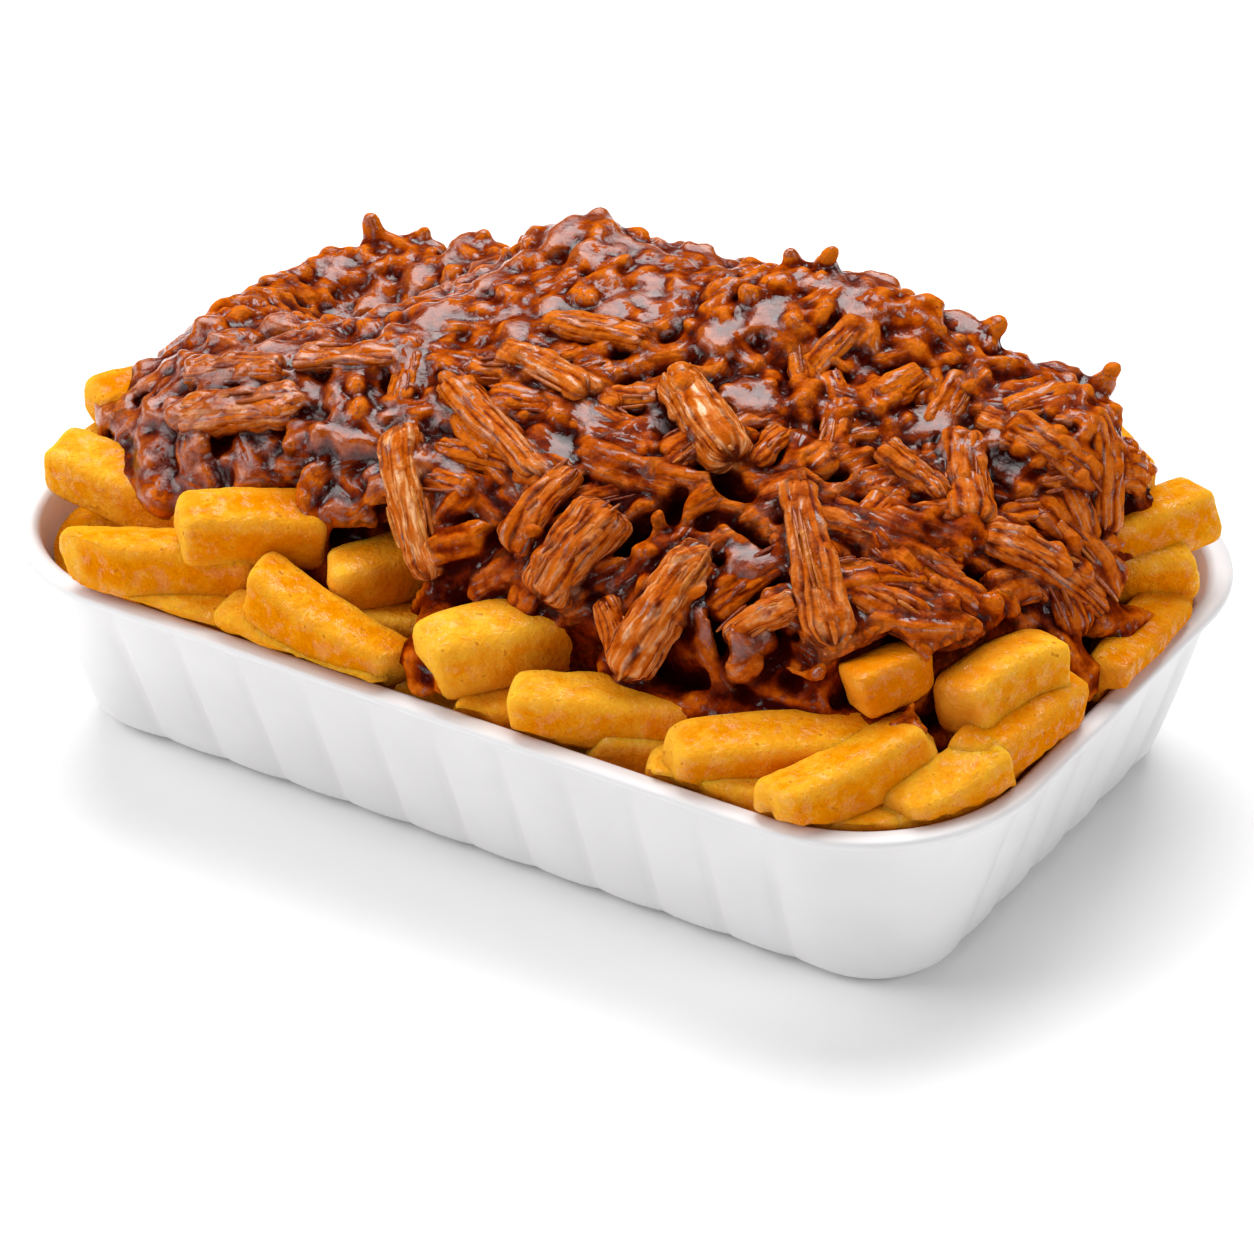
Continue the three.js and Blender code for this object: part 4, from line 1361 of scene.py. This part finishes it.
def box_share(radius):
    """For each place of the grid, the share of meat in a box of a radius round it."""
    cells = max(int(round(radius / STEP)), 1)
    share_in = np.clip(0.5 - field / STEP, 0, 1)
    for axis in range(3):
        total = np.cumsum(share_in, axis=axis, dtype=np.float64)
        last = np.minimum(np.arange(shape[axis]) + cells, shape[axis] - 1)
        first = np.maximum(np.arange(shape[axis]) - cells - 1, 0)
        within = np.take(total, last, axis) - np.take(total, first, axis)
        share_in = (within / (2 * cells + 1)).astype(np.float32)
    return share_in


def wetness(x, y):
    """How readily the sauce lies as a film: most at the left front, least at the right."""
    left_front = np.clip((-x - 20) / 30, 0, 1) * np.clip((-y - 5) / 20, 0, 1)
    return 0.004 + 0.098 * left_front - 0.060 * coarseness(x, y) ** 0.7


def add_place_values(made, points):
    """Stores what a point's place alone tells the material."""
    x, y = points[:, 0], points[:, 1]
    add_value(made, "deep", sample(large_share, points))
    add_value(made, "front", coarseness(x, y))
    add_value(made, "wetness", wetness(x, y))


small_share = box_share(SMALL_BOX)
large_share = box_share(LARGE_BOX)
small_hollow = sample(small_share, mass_points)
add_value(pork, "hollow", small_hollow)
add_value(pork, "pool", np.clip(1 - (sample(pool_field, mass_points) - 0.2) / 0.5, 0, 1))
add_place_values(pork, mass_points)
print("hollow:", round(float(small_hollow.mean()), 3))

# %% [markdown]
# Each point on a shred also stores how far along and across that shred it lies, so that the fibres run the
# right way, and how bare of sauce the shred is. The nearest shred decides. Its number is worked into both
# lengths, so that no two shreds show the same stretch of the noise.

# %% Fibre directions
NEAR_SHRED = 0.9
best = np.full(len(mass_points), NEAR_SHRED)
along_value = np.zeros(len(mass_points))
across_value = np.zeros(len(mass_points))
bare_value = np.zeros(len(mass_points))
order = np.argsort(mass_points[:, 0])
sorted_x = mass_points[order, 0]
for number, shred in enumerate(shreds):
    reach = shred_reach(shred, 1)
    low, high = np.searchsorted(sorted_x, [shred["middle"][0] - reach[0], shred["middle"][0] + reach[0]])
    near = order[low:high]
    offset = mass_points[near] - shred["middle"]
    inside = (np.abs(offset[:, 1]) < reach[1]) & (np.abs(offset[:, 2]) < reach[2])
    near, offset = near[inside], offset[inside]
    distance, t, across = shred_distance(shred, offset[:, 0], offset[:, 1], offset[:, 2])
    nearer = distance < best[near]
    near = near[nearer]
    best[near] = distance[nearer]
    along_value[near] = t[nearer] * shred["half"][0] + 40 * number
    across_value[near] = across[nearer] + offset[nearer] @ shred["axes"][2] * 0.8 + 13 * number
    bare_value[near] = shred["bareness"]
fibre = np.clip((NEAR_SHRED - best) / NEAR_SHRED, 0, 1)
add_value(pork, "along", along_value)
add_value(pork, "across", across_value)
add_value(pork, "bare", bare_value * fibre)
add_value(pork, "fibre", fibre)
print("points on shreds:", round(float((fibre > 0).mean()), 2))

# %% [markdown]
# The sauce's colour runs from nearly black to orange brown: lighter where a point stands free and darker
# where it is closed in, partly as thinner and thicker sauce and partly as painted light and shade, with
# blotches and grain over that, and darker towards the front. Bare meat shows its fibres in orange with pale
# streaks, and the palest of them are a painted sheen. Deep hollows get painted shade. Over it lies the film
# of sauce, a clear coat that comes and goes with a noise. It lies in streaks on shreds, readily in pools,
# and never in deep hollows, and it takes some of the colour's strength away.

# %% Sauced pork
SAUCE_COLOURS = [
    # how lit, then the colour
    (0.2, (0.05, 0.002, 0.0)),
    (0.42, (0.18, 0.015, 0.0)),
    (0.62, (0.40, 0.058, 0.0)),
    (0.86, (0.66, 0.15, 0.006)),
]
# The palest fibre colour is a painted sheen: it stands in for pale glints on wet fibres, over the meat's
# orange.
FIBRE_AND_SHEEN_COLOURS = [(0.38, (0.54, 0.10, 0.004)), (0.49, (0.64, 0.18, 0.03)), (0.60, (0.86, 0.42, 0.17))]
UNDER_FILM = (0.60, 0.48, 0.42)

sauced, tree, shader = new_material("sauced_pork")
where = own_place(tree)
on_shred, deep = read_value(tree, "fibre"), read_value(tree, "deep")
run = times(tree, read_value(tree, "along"), 0.16)
strand_place = add_node(tree, "ShaderNodeCombineXYZ", X=run, Y=read_value(tree, "across")).outputs[0]
stringy = noise(tree, strand_place, 1.1, 1.5, 0.6)
blotch = noise(tree, where, 0.3, 2.0, 0.6)
grain = noise(tree, where, 0.8, 1.5, 0.5)
# Painted light and shade: a point that stands free is lighter and one that is closed in is darker, partly as
# thinner and thicker sauce.
open_share = ramp(tree, read_value(tree, "hollow"), [(0.38, 1.0), (0.60, 0.0)])
lit = plus(tree, times(tree, open_share, 0.62), times(tree, blotch, 0.42))
lit = plus(tree, lit, scaled(tree, grain, 0.4, -0.12))
lit = plus(tree, lit, times(tree, read_value(tree, "front"), -0.19))
bare_patch = ramp(tree, blotch, [(0.40, 0.15), (0.52, 1.0)])
bare = times(tree, times(tree, read_value(tree, "bare"), bare_patch), open_share)
meat = mixed(tree, bare, ramp(tree, lit, SAUCE_COLOURS), ramp(tree, stringy, FIBRE_AND_SHEEN_COLOURS))
# Painted shade: deep hollows are darkened and reddened in the colour.
shade = ramp(tree, deep, [(0.54, (1.0, 1.0, 1.0)), (0.76, (0.30, 0.10, 0.02))])
shaded = mixed(tree, 1.0, meat, shade, "MULTIPLY")
relief = plus(tree, times(tree, stringy, on_shred), grain)
relief = plus(tree, relief, times(tree, noise(tree, where, 1.7, 2.0, 0.6), 0.45))

film = noise(tree, where, 0.38, 5.0, 0.68, 0.6)
filmed = mixed(tree, times(tree, on_shred, 0.75), film, stringy)
filmed = plus(tree, filmed, times(tree, read_value(tree, "pool"), 0.25))
filmed = plus(tree, filmed, read_value(tree, "wetness"))
wet = ramp(tree, filmed, [(0.51, 0.03), (0.54, 1.0)])
covered = times(tree, wet, ramp(tree, deep, [(0.56, 1.0), (0.72, 0.0)]))
dimmed = times(tree, covered, scaled(tree, bare, -0.9, 0.9))
coloured = mixed(tree, dimmed, shaded, mixed(tree, 1.0, shaded, UNDER_FILM, "MULTIPLY"))
set_inputs(tree, shader, Base_Color=coloured, Normal=bumps(tree, relief, 0.75, BUMP_DEPTH))
set_inputs(tree, shader, Coat_Weight=covered, Coat_Normal=bumps(tree, film, 0.3, BUMP_DEPTH))
shader.inputs["Roughness"].default_value = 0.5
shader.inputs["Coat Roughness"].default_value = 0.04
shader.inputs["Coat IOR"].default_value = 1.6
shader.inputs["Specular IOR Level"].default_value = 0.0
pork.data.materials.append(sauced)
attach(pork, "root")
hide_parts("pulled_pork")

# %% [markdown]
# ## The shreds that lie on top
# The shreds of the top layer are bundles of fibres, seen closely. Each gets its own surface, lofted along
# it like a fry's: round the section run ridges of different widths, one for each string of fibres, and at
# the ends each string breaks off at its own length. They sit in the sauce of the mass, which already rises
# round them.

# %% Lofted shreds
SUNK_IN = 0.3


def shred_surface(shred, number):
    """Points of one shred, and for each how deep in a groove it lies, and its place along and across."""
    draw = rng(7000 + number)
    rings, sides = shred["lofted"]
    half_length, half_width, half_height = shred["half"]
    along, across, up = shred["axes"]
    turned = np.linspace(-1, 1, sides, endpoint=False)
    t, s = np.meshgrid(-np.cos(np.linspace(0.06, math.pi - 0.06, rings)), turned, indexing="ij")
    a = math.pi / 2 + math.pi * (0.75 * s + 0.25 * s**3)
    strings = max(int(sides / 4.2), 6)
    borders = np.cumsum(draw.uniform(0.4, 1.6, strings) ** 2)
    borders *= 2 * math.pi / borders[-1]
    wander = 0.16 * np.sin(2.3 * t + any_phase(draw)) + 0.09 * np.sin(5.1 * t + any_phase(draw))
    place = (a + wander) % (2 * math.pi)
    string = np.minimum(np.searchsorted(borders, place), strings - 1)
    starts = np.append(0, borders[:-1])
    u = (place - starts[string]) / (borders - starts)[string]
    bulge = np.sqrt(np.maximum(1 - (2 * u - 1) ** 2, 0))
    height = draw.uniform(0.4, 1.0, strings)[string] ** 2 * min(half_width * 0.18, 0.8)
    waves = any_phase(draw, 3)
    beaded = 0.55 + 0.9 * np.sin(4.1 * t + 1.3 * a + waves[0]) * np.sin(2 * a + waves[1])
    ridge = height * np.clip(beaded, 0.1, 1) * bulge
    length_low, length_high = draw.uniform(0.8, 1.0, (2, strings))
    broken = np.clip((np.abs(t) - np.where(t < 0, length_low[string], length_high[string])) / 0.06, 0, 1)
    end = (1 - np.abs(t) ** 12) ** (1 / 3)
    radius = (np.abs(np.cos(a)) ** 3 + np.abs(np.sin(a)) ** 3) ** (-1 / 3)
    uneven = 1 + 0.10 * np.sin(2 * a + any_phase(draw)) + 0.08 * np.sin(3 * a + any_phase(draw))
    waist = 1 + 0.09 * np.sin(2.6 * t + any_phase(draw)) + draw.uniform(-0.15, 0.15) * t
    size = radius * uneven * end * waist * (1 - 0.22 * broken)
    bow = t * t - 0.33
    side = (half_width * size + ridge - SUNK_IN) * np.cos(a) + shred["bend"][0] * bow
    lift = (half_height * size + ridge - SUNK_IN) * np.sin(a) + shred["bend"][1] * bow
    run = t * half_length
    points = shred["middle"] + run[..., None] * along + side[..., None] * across + lift[..., None] * up
    outward = np.cos(a)[..., None] * across + np.sin(a)[..., None] * up
    points = points + outward * (1.6 * dimples(points, draw) * end)[..., None]
    tips = np.array([points[0].mean(0) - along * 0.15, points[-1].mean(0) + along * 0.15])
    groove = np.append(np.maximum(np.abs(2 * u - 1) ** 2, broken), [1, 1])
    runs = np.append(run, [-half_length, half_length]) + 40 * number
    arcs = np.append(a * (half_width + half_height) / 2, [0, 0]) + 13 * number
    return np.concatenate([points.reshape(-1, 3), tips]), groove, runs, arcs


top_parts, top_values = [], {"groove": [], "along": [], "across": [], "bare": []}
for number, shred in enumerate(shreds):
    if not shred["lofted"]:
        continue
    shred_points, groove, runs, arcs = shred_surface(shred, number)
    top_parts.append((shred_points, ring_faces(*shred["lofted"])))
    bare = np.full(len(groove), shred["bareness"])
    for name, column in zip(top_values, (groove, runs, arcs, bare)):
        top_values[name].append(column)
top_points, top_faces = join(top_parts)
top_shreds = make_mesh("pork_shreds", top_points, top_faces)
groove = np.concatenate(top_values.pop("groove"))
for name, columns in top_values.items():
    add_value(top_shreds, name, np.concatenate(columns))
# Painted shade: the grooves between strings count as closed in, so the colour darkens them as it does
# hollows.
add_value(top_shreds, "hollow", np.maximum(0.33 + 0.21 * groove, sample(small_share, top_points) * 0.9))
add_value(top_shreds, "fibre", np.ones(len(top_points)))
add_value(top_shreds, "pool", np.zeros(len(top_points)))
add_place_values(top_shreds, top_points)
top_shreds.data.materials.append(sauced)
print("top shreds:", len(top_parts), "with", len(top_shreds.data.polygons), "faces")
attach(top_shreds, "root")
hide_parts("pulled_pork")

# %% [markdown]
# ## Strands
# On the shreds of the top layer a few fibres have come loose and show as thin strands. Each is a path laid
# on the top half of its shred. The paths go into one mesh of edges, with a thickness at each point, and
# Geometry Nodes turn all of them into tapering strings at once. Modelling each string by hand would give
# the same faces for far more work, and no way to change the count of strands.

# %% Strand paths
STRAND_POINTS = 9


def strand_paths():
    """Points and edges of all the strands, and for each point its thickness, tone and place along."""
    points, edges, thickness, tones, run = [], [], [], [], []
    for number, shred in enumerate(shreds):
        if not shred["lofted"]:
            continue
        draw = rng(8000 + number)
        half_length, half_width, half_height = shred["half"]
        along, across, up = shred["axes"]
        for k in range(max(int(half_width * 1.6), 3)):
            angle = math.pi * draw.uniform(0.08, 0.92)
            middle_t, span = draw.uniform(-0.75, 0.75), draw.uniform(0.15, 0.5)
            t = np.clip(np.linspace(middle_t - span, middle_t + span, STRAND_POINTS), -1.12, 1.12)
            drift = 0.3 * np.sin(2.4 * t + any_phase(draw))
            bow = t * t - 0.33
            rise_over = 0.97 - 0.12 * t**2 + 0.25 * np.maximum(np.abs(t) - 0.9, 0)
            side = math.cos(angle) * half_width * rise_over + drift + shred["bend"][0] * bow
            lift = math.sin(angle) * half_height * rise_over + shred["bend"][1] * bow
            path = shred["middle"] + along * (t * half_length)[:, None]
            path = path + across * side[:, None] + up * lift[:, None]
            first = len(points)
            points.extend(path)
            edges.extend((first + n, first + n + 1) for n in range(STRAND_POINTS - 1))
            tapered = 1 - 0.5 * np.abs(np.linspace(-1, 1, STRAND_POINTS)) ** 5
            thickness.extend(draw.uniform(0.25, 0.5) * tapered)
            tones.extend([shred["bareness"] * 0.5 + draw.uniform(-0.1, 0.3)] * STRAND_POINTS)
            run.extend(t * half_length + 17 * k + 31 * number)
    return np.array(points), edges, thickness, tones, run


strand_points, strand_edges, thickness, tones, run = strand_paths()
mesh = bpy.data.meshes.new("pork_strands")
mesh.from_pydata((strand_points * MM).tolist(), strand_edges, [])
strands = bpy.data.objects.new("pork_strands", mesh)
bpy.context.scene.collection.objects.link(strands)
add_value(strands, "thickness", np.array(thickness) * MM)
add_value(strands, "tone", tones)
add_value(strands, "run", run)
print("strands:", len(thickness) // STRAND_POINTS)

# %% [markdown]
# The strands' meat is paler the barer their shred is, mottled along and across, under a thin wet coat.

# %% Strand material
FLESH_COLOURS = [
    # how pale, then the colour
    (0.0, (0.20, 0.022, 0.0)),
    (0.3, (0.36, 0.065, 0.0)),
    (0.65, (0.54, 0.15, 0.008)),
    (1.0, (0.78, 0.36, 0.10)),
]

fibre_meat, tree, shader = new_material("meat_fibres")
where = own_place(tree)
tone = read_value(tree, "tone")
stretched = add_node(tree, "ShaderNodeCombineXYZ", X=times(tree, read_value(tree, "run"), 0.25), Y=tone)
grain = noise(tree, stretched.outputs[0], 1.2, 1.0, 0.6)
level = plus(tree, tone, scaled(tree, grain, 0.9, -0.45))
level = plus(tree, level, scaled(tree, noise(tree, where, 0.45, 1.0), 0.9, -0.45))
fine = bumps(tree, noise(tree, where, 1.6, 1.0, 0.6), 0.5, 0.0004)
set_inputs(tree, shader, Base_Color=ramp(tree, level, FLESH_COLOURS), Normal=fine, Coat_Normal=fine)
shader.inputs["Roughness"].default_value = 0.4
shader.inputs["Specular IOR Level"].default_value = 0.05
shader.inputs["Coat Weight"].default_value = 0.9
shader.inputs["Coat Roughness"].default_value = 0.16
shader.inputs["Coat IOR"].default_value = 1.42

# %% [markdown]
# The node tree takes the paths, sets the thickness, sweeps a small polygon along each and closes its ends.

# %% Strand nodes
STRAND_SIDES = 5


def strand_nodes(material):
    """A node tree that sweeps strings along paths, and the name of its input for each setting."""
    group = bpy.data.node_groups.new("strings_along_paths", "GeometryNodeTree")
    group.interface.new_socket("Paths", in_out="INPUT", socket_type="NodeSocketGeometry")
    sides = group.interface.new_socket("Sides", in_out="INPUT", socket_type="NodeSocketInt")
    sides.default_value = STRAND_SIDES
    group.interface.new_socket("Strings", in_out="OUTPUT", socket_type="NodeSocketGeometry")
    start, end = group.nodes.new("NodeGroupInput"), group.nodes.new("NodeGroupOutput")
    curves = add_node(group, "GeometryNodeMeshToCurve")
    thick = add_node(group, "GeometryNodeInputNamedAttribute", {"data_type": "FLOAT"}, Name="thickness")
    ring = add_node(group, "GeometryNodeCurvePrimitiveCircle", Radius=1.0)
    swept = add_node(group, "GeometryNodeCurveToMesh", Fill_Caps=True)
    smooth = add_node(group, "GeometryNodeSetShadeSmooth")
    realized = add_node(group, "GeometryNodeRealizeInstances")
    painted = add_node(group, "GeometryNodeSetMaterial", Material=material)
    for source, output, target, entry in (
        (start, "Paths", curves, "Mesh"),
        (start, "Sides", ring, "Resolution"),
        (curves, "Curve", swept, "Curve"),
        (ring, "Curve", swept, "Profile Curve"),
        (thick, "Attribute", swept, "Scale"),
        (swept, "Mesh", smooth, "Geometry"),
        (smooth, "Geometry", realized, "Geometry"),
        (realized, "Geometry", painted, "Geometry"),
        (painted, "Geometry", end, "Strings"),
    ):
        group.links.new(source.outputs[output], target.inputs[entry])
    return group, {"Sides": sides.identifier}


def grow(made, group, settings):
    """Runs a node tree on an object and keeps the mesh that it makes."""
    modifier = made.modifiers.new("grow", "NODES")
    modifier.node_group = group
    for identifier, value in settings.items():
        modifier[identifier] = value
    keep_result(made)


group, sockets = strand_nodes(fibre_meat)
grow(strands, group, {sockets["Sides"]: STRAND_SIDES})
print("strands:", len(strands.data.polygons), "faces")
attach(strands, "root")
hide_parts("pulled_pork")
